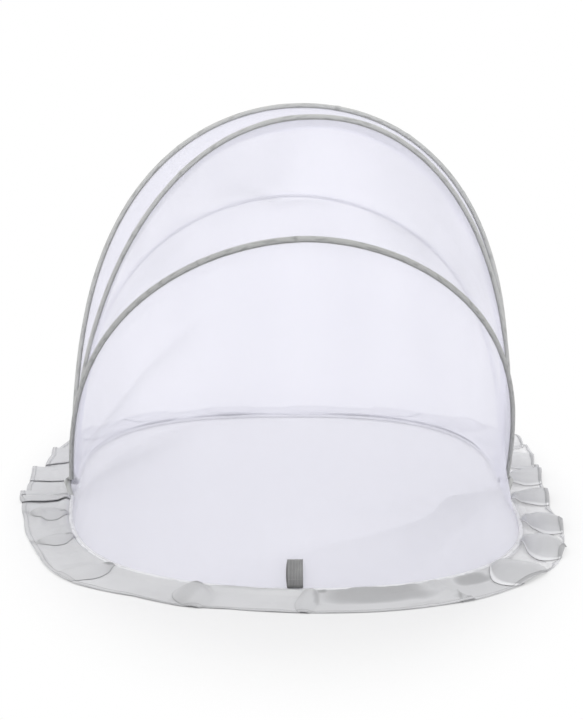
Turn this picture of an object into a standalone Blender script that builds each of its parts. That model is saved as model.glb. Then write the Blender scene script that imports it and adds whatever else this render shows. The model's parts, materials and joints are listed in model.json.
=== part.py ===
"""Folding net tent for a sleeping baby, without a floor.

Six rod hoops open like a fan round two rivets. Each hoop lies in its own plane beside the pivot line, in the
order of the folded stack, so the hoops lie flat on each other when the tent is shut. Fine net is stretched
from hoop to hoop, and a pleated strip runs round the foot.
Metres, +Z up, the floor at zero, the front towards -Y.
"""
import math
from collections import namedtuple

import bmesh
import bpy
import numpy as np
from mathutils import Matrix, Vector

# Driving sizes of the frame
HALF_SPAN = 0.325
REAR_BASE_REACH = 0.572
REAR_RIB_REACH = 0.570
CROWN_RIB_REACH = 0.561
BROW_RIB_REACH = 0.559
FRONT_RIB_REACH = 0.568
FRONT_BASE_REACH = 0.558

# Where each rib stands when open, in degrees up from the front and over to the rear
FRONT_RIB_DEG = 48.8
BROW_RIB_DEG = 82.6
CROWN_RIB_DEG = 93.5
REAR_RIB_DEG = 137.0
REAR_BASE_DEG = 180.0

# Rod, sleeve and the stack that they fold into
ROD_RADIUS = 0.0012
SLEEVE_FLAT_RADIUS = 0.0035
SLEEVE_WALL = 0.001
STACK_GAP = 0.0005
SEAT_GAP = 0.0003

# Moulded end of each rod
EYE_RADIUS = 0.0045
EYE_THICKNESS = 0.0027
NECK_RADIUS = 0.0011
NECK_LENGTH = 0.026
BARREL_LENGTH = 0.012
BARREL_WALL = 0.0007
BARREL_BORE_DEPTH = 0.010
BARREL_FLARE_LENGTH = 0.002

# Rivet and washer
SHANK_RADIUS = 0.0015
RIVET_HEAD_RADIUS = 0.0045
RIVET_HEAD_HEIGHT = 0.002
RIVET_TAIL_RADIUS = 0.0028
RIVET_TAIL_HEIGHT = 0.0013
WASHER_RADIUS = 0.0045
WASHER_THICKNESS = 0.0008

# Net, foot strip and pull tab
NET_THICKNESS = 0.0008
NET_PULL_SHARE = 0.05
NET_START_GAP = 0.004
STRIP_REACH = 0.076
STRIP_THICKNESS = 0.001
STRIP_FLOOR_GAP = 0.0002
STRIP_END_GAP = 0.001
PLEAT_HEIGHT = 0.0135
TAB_WIDTH = 0.020
TAB_LENGTH = 0.040
TAB_ASIDE = 0.0145
TAB_PLY = 0.0011
TAB_PLY_GAP = 0.0009

# How far a cutter runs past what it cuts, and the distance at which like points are one
CUT_OVERRUN = 0.002
WELD_DISTANCE = 0.00001

# Counts
HOOP_SEGMENTS = 30
OUTLINE_SAMPLES = 3000
NET_ROWS = 4
STRIP_COLUMNS_PER_SEGMENT = 3
STRIP_END_COLUMNS = 3
STRIP_ROWS = 3
PLEATS_FRONT = 19
PLEATS_REAR = 21
ROUND_SIDES = 12
PROFILE_STEPS = 4
NECK_STEPS = 6

Hoop = namedtuple("Hoop", "name reach degrees lean_share reach_power span_power")

# From the rear to the front, which is also from the bottom of the folded stack to its top.
# lean_share is how far the hoop leans to the right for each metre of reach, and the powers say how square
# its corners are: 2 and 2 would be an ellipse.
HOOPS = (
    Hoop("rear_base", REAR_BASE_REACH, REAR_BASE_DEG, 0.004, 3.50, 2.54),
    Hoop("rear_rib", REAR_RIB_REACH, REAR_RIB_DEG, 0.027, 3.10, 1.91),
    Hoop("crown_rib", CROWN_RIB_REACH, CROWN_RIB_DEG, 0.037, 3.03, 2.05),
    Hoop("brow_rib", BROW_RIB_REACH, BROW_RIB_DEG, 0.062, 2.28, 2.11),
    Hoop("front_rib", FRONT_RIB_REACH, FRONT_RIB_DEG, 0.031, 2.71, 1.87),
    Hoop("front_base", FRONT_BASE_REACH, 0.0, 0.035, 3.52, 2.08),
)
PANEL_NAMES = ("net_rear", "net_upper_rear", "net_crown", "net_upper_front", "net_front")
SIDES = (("right", 1), ("left", -1))

# Sizes that follow from the ones above
STACK_PITCH = 2 * SLEEVE_FLAT_RADIUS + STACK_GAP
SLEEVE_CORNER_RADIUS = SLEEVE_FLAT_RADIUS / math.cos(math.pi / 6)
EYE_PITCH = EYE_THICKNESS + SEAT_GAP
MIDDLE_RANK = (len(HOOPS) - 1) / 2
PIVOT_HEIGHT = SLEEVE_FLAT_RADIUS + MIDDLE_RANK * STACK_PITCH
EYE_BORE_RADIUS = SHANK_RADIUS + SEAT_GAP
BARREL_BORE_RADIUS = ROD_RADIUS + SEAT_GAP
BARREL_RADIUS = BARREL_BORE_RADIUS + BARREL_WALL
BARREL_END = NECK_LENGTH + BARREL_LENGTH
NECK_STRAIGHT = EYE_RADIUS + SEAT_GAP
ROD_START = BARREL_END - BARREL_BORE_DEPTH + SEAT_GAP
SLEEVE_START = NECK_LENGTH + SEAT_GAP
NET_START = BARREL_END + NET_START_GAP
SEAM_OFFSET = SLEEVE_CORNER_RADIUS + SEAT_GAP
STACK_HALF = MIDDLE_RANK * EYE_PITCH + EYE_THICKNESS / 2
RIVET_REACH = STACK_HALF + SEAT_GAP + RIVET_HEAD_HEIGHT

# Colours as seen, in sRGB from 0 to 255
NET_COLOUR = (240, 241, 249)
SLEEVE_COLOUR = (186, 188, 192)
STRIP_COLOUR = (204, 205, 210)
TAB_COLOUR = (126, 126, 128)
STEEL_COLOUR = (176, 178, 182)
FITTING_COLOUR = (52, 53, 56)


# Scene helpers

def clear_scene():
    """Remove every object, so that a second run starts clean."""
    for old in list(bpy.data.objects):
        bpy.data.objects.remove(old, do_unlink=True)


def collection(name, hidden=False):
    """Return a new collection linked to the scene."""
    group = bpy.data.collections.new(name)
    bpy.context.scene.collection.children.link(group)
    group.hide_render = hidden
    return group


def linear(channel):
    """Turn one sRGB channel from 0 to 255 into a linear value."""
    value = channel / 255
    if value <= 0.04045:
        return value / 12.92
    return ((value + 0.055) / 1.055) ** 2.4


def finish(name, colour, roughness, metallic=0.0):
    """Make a Principled material."""
    made = bpy.data.materials.new(name)
    made.use_nodes = True
    shader = made.node_tree.nodes["Principled BSDF"]
    shader.inputs["Base Color"].default_value = (*[linear(c) for c in colour], 1)
    shader.inputs["Roughness"].default_value = roughness
    shader.inputs["Metallic"].default_value = metallic
    return made


def add_object(name, data, group, material=None, parent=None):
    """Put an object in a collection, with its own material."""
    made = bpy.data.objects.new(name, data)
    group.objects.link(made)
    made.parent = parent
    if material:
        data.materials.append(material)
    return made


def smooth(mesh):
    """Shade a round piece smooth, with its real edges kept sharp."""
    mesh.shade_smooth()
    mesh.set_sharp_from_angle(angle=math.radians(40))


def tube_curve(name, points, radius, resolution, capped, radii=None):
    """Make a curve object's data: a tube of the given radius through the points."""
    data = bpy.data.curves.new(name, "CURVE")
    data.dimensions = "3D"
    data.twist_mode = "Z_UP"
    data.bevel_depth = radius
    data.bevel_resolution = resolution
    data.use_fill_caps = capped
    spline = data.splines.new("POLY")
    spline.points.add(len(points) - 1)
    for index, point in enumerate(points):
        spline.points[index].co = (*point, 1)
        if radii:
            spline.points[index].radius = radii[index] / radius
    return data


def curve_to_mesh(data):
    """Turn a curve's data into a welded mesh, and remove the curve."""
    holder = bpy.data.objects.new(data.name, data)
    bpy.context.scene.collection.objects.link(holder)
    bpy.context.view_layer.update()
    graph = bpy.context.evaluated_depsgraph_get()
    mesh = bpy.data.meshes.new_from_object(holder.evaluated_get(graph))
    bpy.data.objects.remove(holder, do_unlink=True)
    work = bmesh.new()
    work.from_mesh(mesh)
    bmesh.ops.remove_doubles(work, verts=work.verts, dist=WELD_DISTANCE)
    bmesh.ops.recalc_face_normals(work, faces=work.faces)
    work.to_mesh(mesh)
    work.free()
    return mesh


def cylinder(work, radius, start, end, sides=ROUND_SIDES):
    """Add a capped cylinder between two points to a bmesh."""
    axis = Vector(end) - Vector(start)
    place = Matrix.Translation((Vector(start) + Vector(end)) / 2) @ axis.to_track_quat("Z", "X").to_matrix().to_4x4()
    bmesh.ops.create_cone(work, cap_ends=True, segments=sides, radius1=radius, radius2=radius,
                          depth=axis.length, matrix=place)


def boolean(target, other, operation):
    """Join or cut a mesh object with another."""
    modifier = target.modifiers.new(operation.title(), "BOOLEAN")
    modifier.operation = operation
    modifier.solver = "EXACT"
    modifier.object = other


def guide(obj):
    """Keep a cutter or a joined shape out of the render."""
    obj.hide_render = True
    obj.display_type = "WIRE"


# Outlines of the hoops

def dense_outline(hoop):
    """Return points (across, along) of the hoop's outline from its right pivot to its left, and arc lengths."""
    turn = np.linspace(0, math.pi, OUTLINE_SAMPLES + 1)
    along_share = np.sin(turn)
    across_share = np.clip(1 - along_share ** hoop.reach_power, 0, 1) ** (1 / hoop.span_power)
    along = hoop.reach * along_share
    across = HALF_SPAN * np.sign(np.cos(turn)) * across_share + hoop.lean_share * along
    steps = np.hypot(np.diff(across), np.diff(along))
    return across, along, np.concatenate(([0.0], np.cumsum(steps)))


def hoop_points(hoop, start):
    """Return the stations (across, along) of a rod, a sleeve or a net edge.

    They share all stations but the outermost ones, which lie at the given distance from each pivot.
    """
    across, along, arc = dense_outline(hoop)
    shared = np.linspace(NET_START, arc[-1] - NET_START, HOOP_SEGMENTS + 1)
    if start < NET_START:
        shared = np.concatenate(([start], shared, [arc[-1] - start]))
    return np.stack([np.interp(shared, arc, across), np.interp(shared, arc, along)], axis=1)


def point_past_middle(hoop, aside):
    """Return the point (across, along) of the outline at a distance past its middle, towards the left pivot."""
    across, along, arc = dense_outline(hoop)
    return np.interp(arc[-1] / 2 + aside, arc, across), np.interp(arc[-1] / 2 + aside, arc, along)


def rank(index):
    """Return the hoop's place in the stack, counted from the middle."""
    return index - MIDDLE_RANK


def world_point(index, across, along):
    """Return a point of the hoop's centre line, measured from the middle of the pivot line."""
    angle = math.radians(HOOPS[index].degrees)
    offset = rank(index) * STACK_PITCH
    return np.array([across,
                     -along * math.cos(angle) - offset * math.sin(angle),
                     along * math.sin(angle) - offset * math.cos(angle)])


def local_point(index, across, along, offset_share=1.0):
    """Return a point in the hoop's own frame, in which the hoop lies flat towards the front."""
    return (across, -along, -rank(index) * STACK_PITCH * offset_share)


# Foot strip outline

def strip_outline(index):
    """Return the strip's columns: inner and outer plan points (across, along) and their shares of the length."""
    hoop = HOOPS[index]
    across, along, arc = dense_outline(hoop)
    stations = np.linspace(NET_START, arc[-1] - NET_START, HOOP_SEGMENTS + 1)
    fine = np.linspace(0, HOOP_SEGMENTS, HOOP_SEGMENTS * STRIP_COLUMNS_PER_SEGMENT + 1)
    shared = np.interp(fine, np.arange(HOOP_SEGMENTS + 1), stations)
    lead = np.linspace(STRIP_END_GAP, NET_START, STRIP_END_COLUMNS + 1)[:-1]
    distance = np.concatenate((lead, shared, (arc[-1] - lead)[::-1]))
    knots = np.concatenate((lead, stations, (arc[-1] - lead)[::-1]))
    middle = np.stack([np.interp(distance, knots, np.interp(knots, arc, across)),
                       np.interp(distance, knots, np.interp(knots, arc, along))], axis=1)
    slope_across = np.interp(distance, arc, np.gradient(across, arc))
    slope_along = np.interp(distance, arc, np.gradient(along, arc))
    from_pivot = np.minimum(distance, arc[-1] - distance)
    # The columns turn square to the pivot line as they come up to it
    square = np.clip(1 - from_pivot / NET_START, 0, 1)
    normal = np.stack([slope_along, -slope_across * (1 - square)], axis=1)
    normal /= np.hypot(normal[:, 0], normal[:, 1])[:, None]
    near = np.clip((NET_START - from_pivot) / (NET_START - NECK_LENGTH), 0, 1)
    inner_offset = SEAM_OFFSET + (RIVET_REACH + SEAT_GAP - SEAM_OFFSET) * near
    inner = middle + normal * inner_offset[:, None]
    outer = middle + normal * STRIP_REACH
    return inner, outer, distance / arc[-1]


def pivot_place():
    """Return where the middle of the pivot line stands, so that the foot strips are centred on the origin."""
    front = strip_outline(len(HOOPS) - 1)[1]
    rear = strip_outline(0)[1]
    across = np.concatenate((front[:, 0], rear[:, 0]))
    lengthwise = np.concatenate((-front[:, 1], rear[:, 1]))
    return Vector((-(across.max() + across.min()) / 2, -(lengthwise.max() + lengthwise.min()) / 2, PIVOT_HEIGHT))


# Sub-parts

def make_rod(index, axis, group):
    """A spring rod, held in the barrels at its two ends."""
    hoop = HOOPS[index]
    points = [local_point(index, *p) for p in hoop_points(hoop, ROD_START)]
    mesh = curve_to_mesh(tube_curve(hoop.name + "_rod", points, ROD_RADIUS, 1, True))
    smooth(mesh)
    material = finish(hoop.name + "_rod_steel", STEEL_COLOUR, 0.35, 1.0)
    add_object(hoop.name + "_rod", mesh, group, material, axis)


def make_sleeve(index, axis, group):
    """The bias tape sewn round the rod: a tube with flat top and bottom, open at both ends."""
    hoop = HOOPS[index]
    points = [local_point(index, *p) for p in hoop_points(hoop, SLEEVE_START)]
    curve = tube_curve(hoop.name + "_sleeve", points, SLEEVE_CORNER_RADIUS, 1, False)
    sleeve = add_object(hoop.name + "_sleeve", curve_to_mesh(curve), group,
                        finish(hoop.name + "_sleeve_tape", SLEEVE_COLOUR, 0.85), axis)
    shell = sleeve.modifiers.new("Wall", "SOLIDIFY")
    shell.thickness = SLEEVE_WALL
    shell.offset = -1
    shell.use_even_offset = True


def fitting_point(index, sign, distance):
    """Return the middle of the rod end at a distance from the pivot, from its eye out to its barrel."""
    hoop = HOOPS[index]
    share = min(max((distance - NECK_STRAIGHT) / (NECK_LENGTH - NECK_STRAIGHT), 0), 1)
    eased = share * share * (3 - 2 * share)
    inward = HALF_SPAN * (1 - (1 - (distance / hoop.reach) ** hoop.reach_power) ** (1 / hoop.span_power))
    beside = rank(index) * EYE_PITCH * (1 - eased)
    across = sign * (HALF_SPAN + beside - inward) + hoop.lean_share * distance
    return Vector(local_point(index, across, distance, eased))


def make_fitting(index, side, sign, axis, group, cutters):
    """A moulded rod end: an eye on the rivet, a curved neck, and a barrel that holds the rod."""
    name = HOOPS[index].name + "_end_" + side
    neck_start = EYE_BORE_RADIUS + NECK_RADIUS
    steps = [neck_start + (NECK_LENGTH - neck_start) * k / NECK_STEPS for k in range(NECK_STEPS + 1)]
    steps += [NECK_LENGTH + BARREL_FLARE_LENGTH, BARREL_END]
    radii = [NECK_RADIUS] * (NECK_STEPS + 1) + [BARREL_RADIUS] * 2
    points = [fitting_point(index, sign, step) for step in steps]
    stem = tube_curve(name + "_stem", points, BARREL_RADIUS, 2, True, radii=radii)
    stem_object = add_object(name + "_stem", curve_to_mesh(stem), cutters, None, axis)
    guide(stem_object)
    eye = Vector((sign * (HALF_SPAN + rank(index) * EYE_PITCH), 0, 0))
    half = Vector((EYE_THICKNESS / 2, 0, 0))
    past = Vector((CUT_OVERRUN, 0, 0))
    work = bmesh.new()
    cylinder(work, EYE_RADIUS, eye - half, eye + half)
    mesh = bpy.data.meshes.new(name)
    work.to_mesh(mesh)
    work.free()
    fitting = add_object(name, mesh, group, finish(name + "_moulding", FITTING_COLOUR, 0.5), axis)
    boolean(fitting, stem_object, "UNION")
    mouth = fitting_point(index, sign, BARREL_END)
    along_barrel = (mouth - fitting_point(index, sign, NECK_LENGTH)).normalized()
    work = bmesh.new()
    cylinder(work, EYE_BORE_RADIUS, eye - half - past, eye + half + past)
    cylinder(work, BARREL_BORE_RADIUS, mouth - along_barrel * BARREL_BORE_DEPTH,
             mouth + along_barrel * CUT_OVERRUN, sides=ROUND_SIDES // 2)
    bores = bpy.data.meshes.new(name + "_bores")
    work.to_mesh(bores)
    work.free()
    bore_object = add_object(name + "_bores", bores, cutters, None, axis)
    guide(bore_object)
    boolean(fitting, bore_object, "DIFFERENCE")


def turned(name, profile, place, sign, group, material, parent):
    """Turn a closed or end-to-end profile of (along, radius) round the pivot line."""
    mesh = bpy.data.meshes.new(name)
    work = bmesh.new()
    rim = [work.verts.new((radius, 0, along)) for along, radius in profile]
    for first, second in zip(rim, rim[1:]):
        work.edges.new((first, second))
    if profile[0][1] > 0:
        work.edges.new((rim[-1], rim[0]))
    work.to_mesh(mesh)
    work.free()
    piece = add_object(name, mesh, group, material, parent)
    piece.location = place
    piece.rotation_euler = (0, sign * math.pi / 2, 0)
    screw = piece.modifiers.new("Turn", "SCREW")
    screw.axis = "Z"
    screw.angle = 2 * math.pi
    screw.steps = ROUND_SIDES
    screw.render_steps = ROUND_SIDES
    screw.use_merge_vertices = True
    screw.merge_threshold = WELD_DISTANCE
    return piece


def dome(base, height, radius):
    """Return profile points from the middle of a domed end down to its rim."""
    points = []
    for step in range(PROFILE_STEPS + 1):
        turn = math.pi / 2 * step / PROFILE_STEPS
        points.append((base + height * math.cos(turn), radius * math.sin(turn)))
    return points


def make_rivet(side, sign, axis, group):
    """The rivet through the six eyes, with its head outside, and the washer under its peened tail."""
    head_seat = STACK_HALF + SEAT_GAP
    tail_seat = -STACK_HALF - SEAT_GAP - WASHER_THICKNESS - SEAT_GAP
    profile = dome(head_seat, RIVET_HEAD_HEIGHT, RIVET_HEAD_RADIUS)
    profile += [(head_seat, SHANK_RADIUS), (tail_seat, SHANK_RADIUS)]
    profile += [(2 * tail_seat - along, radius)
                for along, radius in reversed(dome(tail_seat, RIVET_TAIL_HEIGHT, RIVET_TAIL_RADIUS))]
    place = (sign * HALF_SPAN, 0, 0)
    turned("pivot_rivet_" + side, profile, place, sign, group, finish("rivet_steel_" + side, STEEL_COLOUR, 0.3, 1.0),
           axis)
    washer_top = -STACK_HALF - SEAT_GAP
    washer_foot = washer_top - WASHER_THICKNESS
    ring = [(washer_top, EYE_BORE_RADIUS), (washer_top, WASHER_RADIUS),
            (washer_foot, WASHER_RADIUS), (washer_foot, EYE_BORE_RADIUS)]
    turned("rivet_washer_" + side, ring, place, sign, group, finish("washer_steel_" + side, STEEL_COLOUR, 0.35, 1.0),
           axis)


def mapped_grid(name, columns, rows, place_of):
    """Make a grid and move each of its points to where place_of puts its column and row."""
    work = bmesh.new()
    bmesh.ops.create_grid(work, x_segments=columns, y_segments=rows, size=1)
    for vert in work.verts:
        column = round((vert.co.x + 1) / 2 * columns)
        row = round((vert.co.y + 1) / 2 * rows)
        vert.co = place_of(column, row)
    mesh = bpy.data.meshes.new(name)
    work.to_mesh(mesh)
    work.free()
    return mesh


def thicken(obj, thickness):
    """Give a sheet its thickness, half to each side."""
    shell = obj.modifiers.new("Thickness", "SOLIDIFY")
    shell.thickness = thickness
    shell.offset = 0


def seam_points(index, towards):
    """Return the points beside a hoop's sleeve, square to the rod and on the side of another hoop."""
    middle = np.array([world_point(index, *p) for p in hoop_points(HOOPS[index], NET_START)])
    other = np.array([world_point(towards, *p) for p in hoop_points(HOOPS[towards], NET_START)])
    tangent = np.gradient(middle, axis=0)
    tangent /= np.linalg.norm(tangent, axis=1)[:, None]
    span = other - middle
    span -= tangent * (span * tangent).sum(axis=1)[:, None]
    return middle + span / np.linalg.norm(span, axis=1)[:, None] * SEAM_OFFSET


def make_net_panel(index, place, group):
    """A panel of net between one hoop and the next one to the front, sewn to the sleeves of both."""
    rear = seam_points(index, index + 1)
    front = seam_points(index + 1, index)

    def place_of(column, row):
        span = front[column] - rear[column]
        share = row / NET_ROWS
        point = rear[column] + span * share
        pull = NET_PULL_SHARE * np.linalg.norm(span) * math.sin(math.pi * share)
        return Vector(point - pull * point / np.linalg.norm(point))

    name = PANEL_NAMES[index]
    mesh = mapped_grid(name, HOOP_SEGMENTS, NET_ROWS, place_of)
    smooth(mesh)
    panel = add_object(name, mesh, group, finish(name + "_mesh", NET_COLOUR, 0.9))
    panel.location = place
    thicken(panel, NET_THICKNESS)


def make_foot_strip(name, index, facing, pleats, place, group):
    """The pleated strip sewn to a base hoop: flat at the seam, with folds that open to its outer edge."""
    inner, outer, share_along = strip_outline(index)
    seam_height = SLEEVE_FLAT_RADIUS
    edge_height = STRIP_THICKNESS / 2 + STRIP_FLOOR_GAP

    def place_of(column, row):
        share = row / STRIP_ROWS
        plan = inner[column] + (outer[column] - inner[column]) * share
        # Pleats are closest at the sides of the tent and widest at the middle of its end
        wave = share_along[column] - math.sin(4 * math.pi * share_along[column]) / (8 * math.pi)
        fold = (1 - math.cos(2 * math.pi * pleats * wave)) / 2
        rise = share * share * (3 - 2 * share)
        height = seam_height + (edge_height - seam_height) * share + PLEAT_HEIGHT * rise * fold
        return Vector((plan[0], facing * plan[1], height - PIVOT_HEIGHT))

    mesh = mapped_grid(name, len(inner) - 1, STRIP_ROWS, place_of)
    strip = add_object(name, mesh, group, finish(name + "_cloth", STRIP_COLOUR, 0.85))
    strip.location = place
    thicken(strip, STRIP_THICKNESS)


def make_pull_tab(place, group):
    """A short length of webbing folded in two and sewn beside the middle of the front seam, against the net."""
    front = len(HOOPS) - 1
    foot = world_point(front, *point_past_middle(HOOPS[front], TAB_ASIDE))
    head = world_point(front - 1, *point_past_middle(HOOPS[front - 1], TAB_ASIDE))
    up = Vector((0, head[1] - foot[1], head[2] - foot[2])).normalized()
    out = Vector((0, -up.z, up.y))
    clear = NET_THICKNESS / 2 + SEAT_GAP
    bend = (TAB_PLY + TAB_PLY_GAP) / 2
    start = Vector(foot) + up * SEAM_OFFSET + out * (clear + TAB_PLY + TAB_PLY_GAP / 2)
    outline = [start + out * bend, start + out * bend + up * (TAB_LENGTH - bend)]
    for step in range(1, PROFILE_STEPS):
        turn = math.pi * step / PROFILE_STEPS
        outline.append(start + up * (TAB_LENGTH - bend) + out * bend * math.cos(turn) + up * bend * math.sin(turn))
    outline += [start - out * bend + up * (TAB_LENGTH - bend), start - out * bend]
    across = Vector((TAB_WIDTH / 2, 0, 0))

    def place_of(column, row):
        return outline[column] + across * (2 * row - 1)

    mesh = mapped_grid("pull_tab", len(outline) - 1, 1, place_of)
    smooth(mesh)
    tab = add_object("pull_tab", mesh, group, finish("pull_tab_webbing", TAB_COLOUR, 0.8))
    tab.location = place
    thicken(tab, TAB_PLY)


def main():
    """Build the tent, open and standing on the floor."""
    clear_scene()
    group = collection("net_tent")
    cutters = collection("cutters", hidden=True)
    place = pivot_place()
    axes = []
    for index, hoop in enumerate(HOOPS):
        axis = bpy.data.objects.new(hoop.name + "_axis", None)
        group.objects.link(axis)
        axis.location = place
        axis.rotation_euler = (-math.radians(hoop.degrees), 0, 0)
        axis.empty_display_size = EYE_RADIUS
        axes.append(axis)
        make_rod(index, axis, group)
        make_sleeve(index, axis, group)
        for side, sign in SIDES:
            make_fitting(index, side, sign, axis, group, cutters)
    for side, sign in SIDES:
        make_rivet(side, sign, axes[0], group)
    for index in range(len(PANEL_NAMES)):
        make_net_panel(index, place, group)
    make_foot_strip("rear_foot_strip", 0, 1, PLEATS_REAR, place, group)
    make_foot_strip("front_foot_strip", len(HOOPS) - 1, -1, PLEATS_FRONT, place, group)
    make_pull_tab(place, group)


main()
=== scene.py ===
"""The looks of the folding net tent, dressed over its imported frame. Metres, +Z up, the front towards -Y."""
import json
import math
from collections import namedtuple

import bmesh
import bpy
import numpy as np
from bpy.props import FloatProperty, FloatVectorProperty, PointerProperty
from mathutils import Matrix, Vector, noise


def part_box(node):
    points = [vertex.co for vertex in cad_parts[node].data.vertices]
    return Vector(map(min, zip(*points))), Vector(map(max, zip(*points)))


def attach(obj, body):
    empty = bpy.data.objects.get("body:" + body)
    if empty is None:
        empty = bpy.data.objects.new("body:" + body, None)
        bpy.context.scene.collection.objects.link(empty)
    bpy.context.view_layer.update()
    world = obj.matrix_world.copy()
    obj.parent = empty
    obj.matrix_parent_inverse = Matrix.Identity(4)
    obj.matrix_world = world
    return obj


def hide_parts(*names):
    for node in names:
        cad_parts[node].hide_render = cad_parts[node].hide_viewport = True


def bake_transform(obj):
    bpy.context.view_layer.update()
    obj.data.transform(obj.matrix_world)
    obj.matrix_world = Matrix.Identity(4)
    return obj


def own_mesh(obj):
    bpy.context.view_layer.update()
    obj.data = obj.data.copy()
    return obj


bl_info = {
    "name": "Net tent looks",
    "version": (1, 0, 0),
    "blender": (4, 5, 0),
    "location": "3D View > Sidebar > Net tent",
    "description": "Tape sleeves, net panels, pleated foot strips and fittings of a folding net tent",
    "category": "Object",
}

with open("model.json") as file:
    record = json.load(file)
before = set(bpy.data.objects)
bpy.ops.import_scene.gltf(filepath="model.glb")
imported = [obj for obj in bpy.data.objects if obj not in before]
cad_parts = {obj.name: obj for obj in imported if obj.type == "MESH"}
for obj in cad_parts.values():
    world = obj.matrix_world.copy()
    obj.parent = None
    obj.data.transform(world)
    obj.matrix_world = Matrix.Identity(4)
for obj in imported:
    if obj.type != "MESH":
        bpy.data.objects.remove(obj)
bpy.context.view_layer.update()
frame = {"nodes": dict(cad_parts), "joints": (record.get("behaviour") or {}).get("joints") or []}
TWO_PI = 2 * math.pi
# The least length that a vector is divided by, and the distance at which two points become one
NO_LENGTH = 1e-12
WELD = 1e-6

# How a cloth wrinkles: how often to a metre along it, how often across it or round it, and how deep
Wrinkles = namedtuple("Wrinkles", "along across depth")
# A change from 0 at its start to 1 over its length
Ease = namedtuple("Ease", "start length")

# The frame's own sizes
HALF_SPAN = 0.325
SLEEVE_FLAT_RADIUS = 0.0035
STACK_PITCH = 0.0075
EYE_PITCH = 0.003
NECK_STRAIGHT = 0.0048
NECK_LENGTH = 0.026
PIVOT = Vector(frame["joints"][0]["pos_m"])

Hoop = namedtuple("Hoop", "name reach degrees lean_share reach_power span_power")
HOOPS = (
    Hoop("rear_base", 0.572, 180.0, 0.004, 3.50, 2.54),
    Hoop("rear_rib", 0.570, 137.0, 0.027, 3.10, 1.91),
    Hoop("crown_rib", 0.561, 93.5, 0.037, 3.03, 2.05),
    Hoop("brow_rib", 0.559, 82.6, 0.062, 2.28, 2.11),
    Hoop("front_rib", 0.568, 48.8, 0.031, 2.71, 1.87),
    Hoop("front_base", 0.558, 0.0, 0.035, 3.52, 2.08),
)
BODIES = ("root",) + tuple(hoop.name for hoop in HOOPS[1:])
REAR, FRONT = 0, len(HOOPS) - 1
# The hoops are stacked side by side on the rivets, and their ranks are counted from the middle of the stack
MIDDLE_RANK = (len(HOOPS) - 1) / 2
OUTLINE_SAMPLES = 3000

# Tapes: which cloth each is, how much painted shade darkens it all over and along its inner side, and
# where it has a pucker or a join, in metres along it from the right pivot
Tape = namedtuple("Tape", "cloth shade inner_shade puckers")
TAPES = (
    Tape("pale_tape", 0.0, 0.10, ()),
    Tape("pale_tape", 0.0, 0.05, ()),
    Tape("grey_tape", 0.0, 0.55, (0.442, 0.560, 0.673, 0.921)),
    Tape("grey_tape", 0.12, 0.55, (0.918, 1.034)),
    Tape("grey_tape", 0.40, 0.55, (0.733, 0.874, 0.938)),
    Tape("white_edging", 0.0, 0.0, ()),
)
# Points along a tape and round it. They stand closer along its two ends, where it thins towards the rivets.
TAPE_STATIONS = 620
TAPE_ROUND = 21
TAPE_END = 0.05
TAPE_END_STATIONS = 26
TAPE_THIN = 0.0018
TAPE_THICKENS = Ease(0.006, 0.020)
# The hoops stack up close when the tent folds, so a tape swells mostly sideways
FLAT_SWELL = 1.03
# How far inside the rod the nets are sewn on, as a share of the sleeve's half width
SEAM_INWARD = 0.75
TAPE_PUCKERS = Wrinkles(75, 1.1, 0.08)
TAPE_WAVES = Wrinkles(16, 0.6, 0.08)
# A pucker or join: its length, how much the tape swells there, and the painted shade in the fold beside it
PUCKER_LENGTH = 0.003
PUCKER_SWELL = 0.14
PUCKER_CREASE_SHARE = 0.6
PUCKER_SHADE = 0.35
# The painted shade in a tape's hollows: for their depth, less this much, and at most
Hollows = namedtuple("Hollows", "strength less most")
TAPE_HOLLOWS = Hollows(1.2, 0.15, 0.4)
# Painted shade on a tape's inner side, by how far round it is, and how much of it is left beside the rivets
INNER_SIDE = Ease(0.45, 0.4)
INNER_AWAY = Ease(0.10, 0.15)
INNER_AT_RIVET = 0.3

# Sewn lips of the tapes: how far from the rivets they begin, where their edges lie past the seam as shares
# of the sleeve's half width, how far their lines stand off the net, and the painted shade across them
LIP_START = 0.03
LIP_INNER_SHARE = 0.45
LIP_OUTER_SHARE = 0.65
LIP_INNER_HEIGHT = 0.0009
LIP_OUTER_HEIGHT = 0.0006
LIP_CROWN = 0.00025
LIP_UNDER = 0.0004
LIP_THREAD = 0.0004
LIP_WAVES = Wrinkles(60, 0, 0.0003)
LIP_SHADES = (1.0, 0.8, 0.9, 1.0)
LIP_DARKER = 1.6

# Tape wraps beside the rivets: half their width and thickness, as (share of the length, metres)
WRAP_START = 0.0012
WRAP_LENGTH = 0.036
WRAP_STATIONS = 40
WRAP_ROUND = 25
WRAP_WIDE = ((0, 0.0004), (0.05, 0.0036), (0.12, 0.0048), (0.55, 0.0038), (0.85, 0.0030), (0.97, 0.0024),
             (1, 0.0006))
WRAP_FLAT = ((0, 0.0004), (0.05, 0.0034), (0.12, 0.0042), (0.6, 0.0036), (0.97, 0.0030), (1, 0.0006))
WRAP_PUCKERS = Wrinkles(160, 1.6, 0.16)
# Painted shade in the hollows of its puckers, and how it darkens towards its foot
WRAP_HOLLOWS = Hollows(1.6, 0.1, 0.6)
WRAP_DARK_FOOT = Ease(0.80, 0.15)

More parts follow.
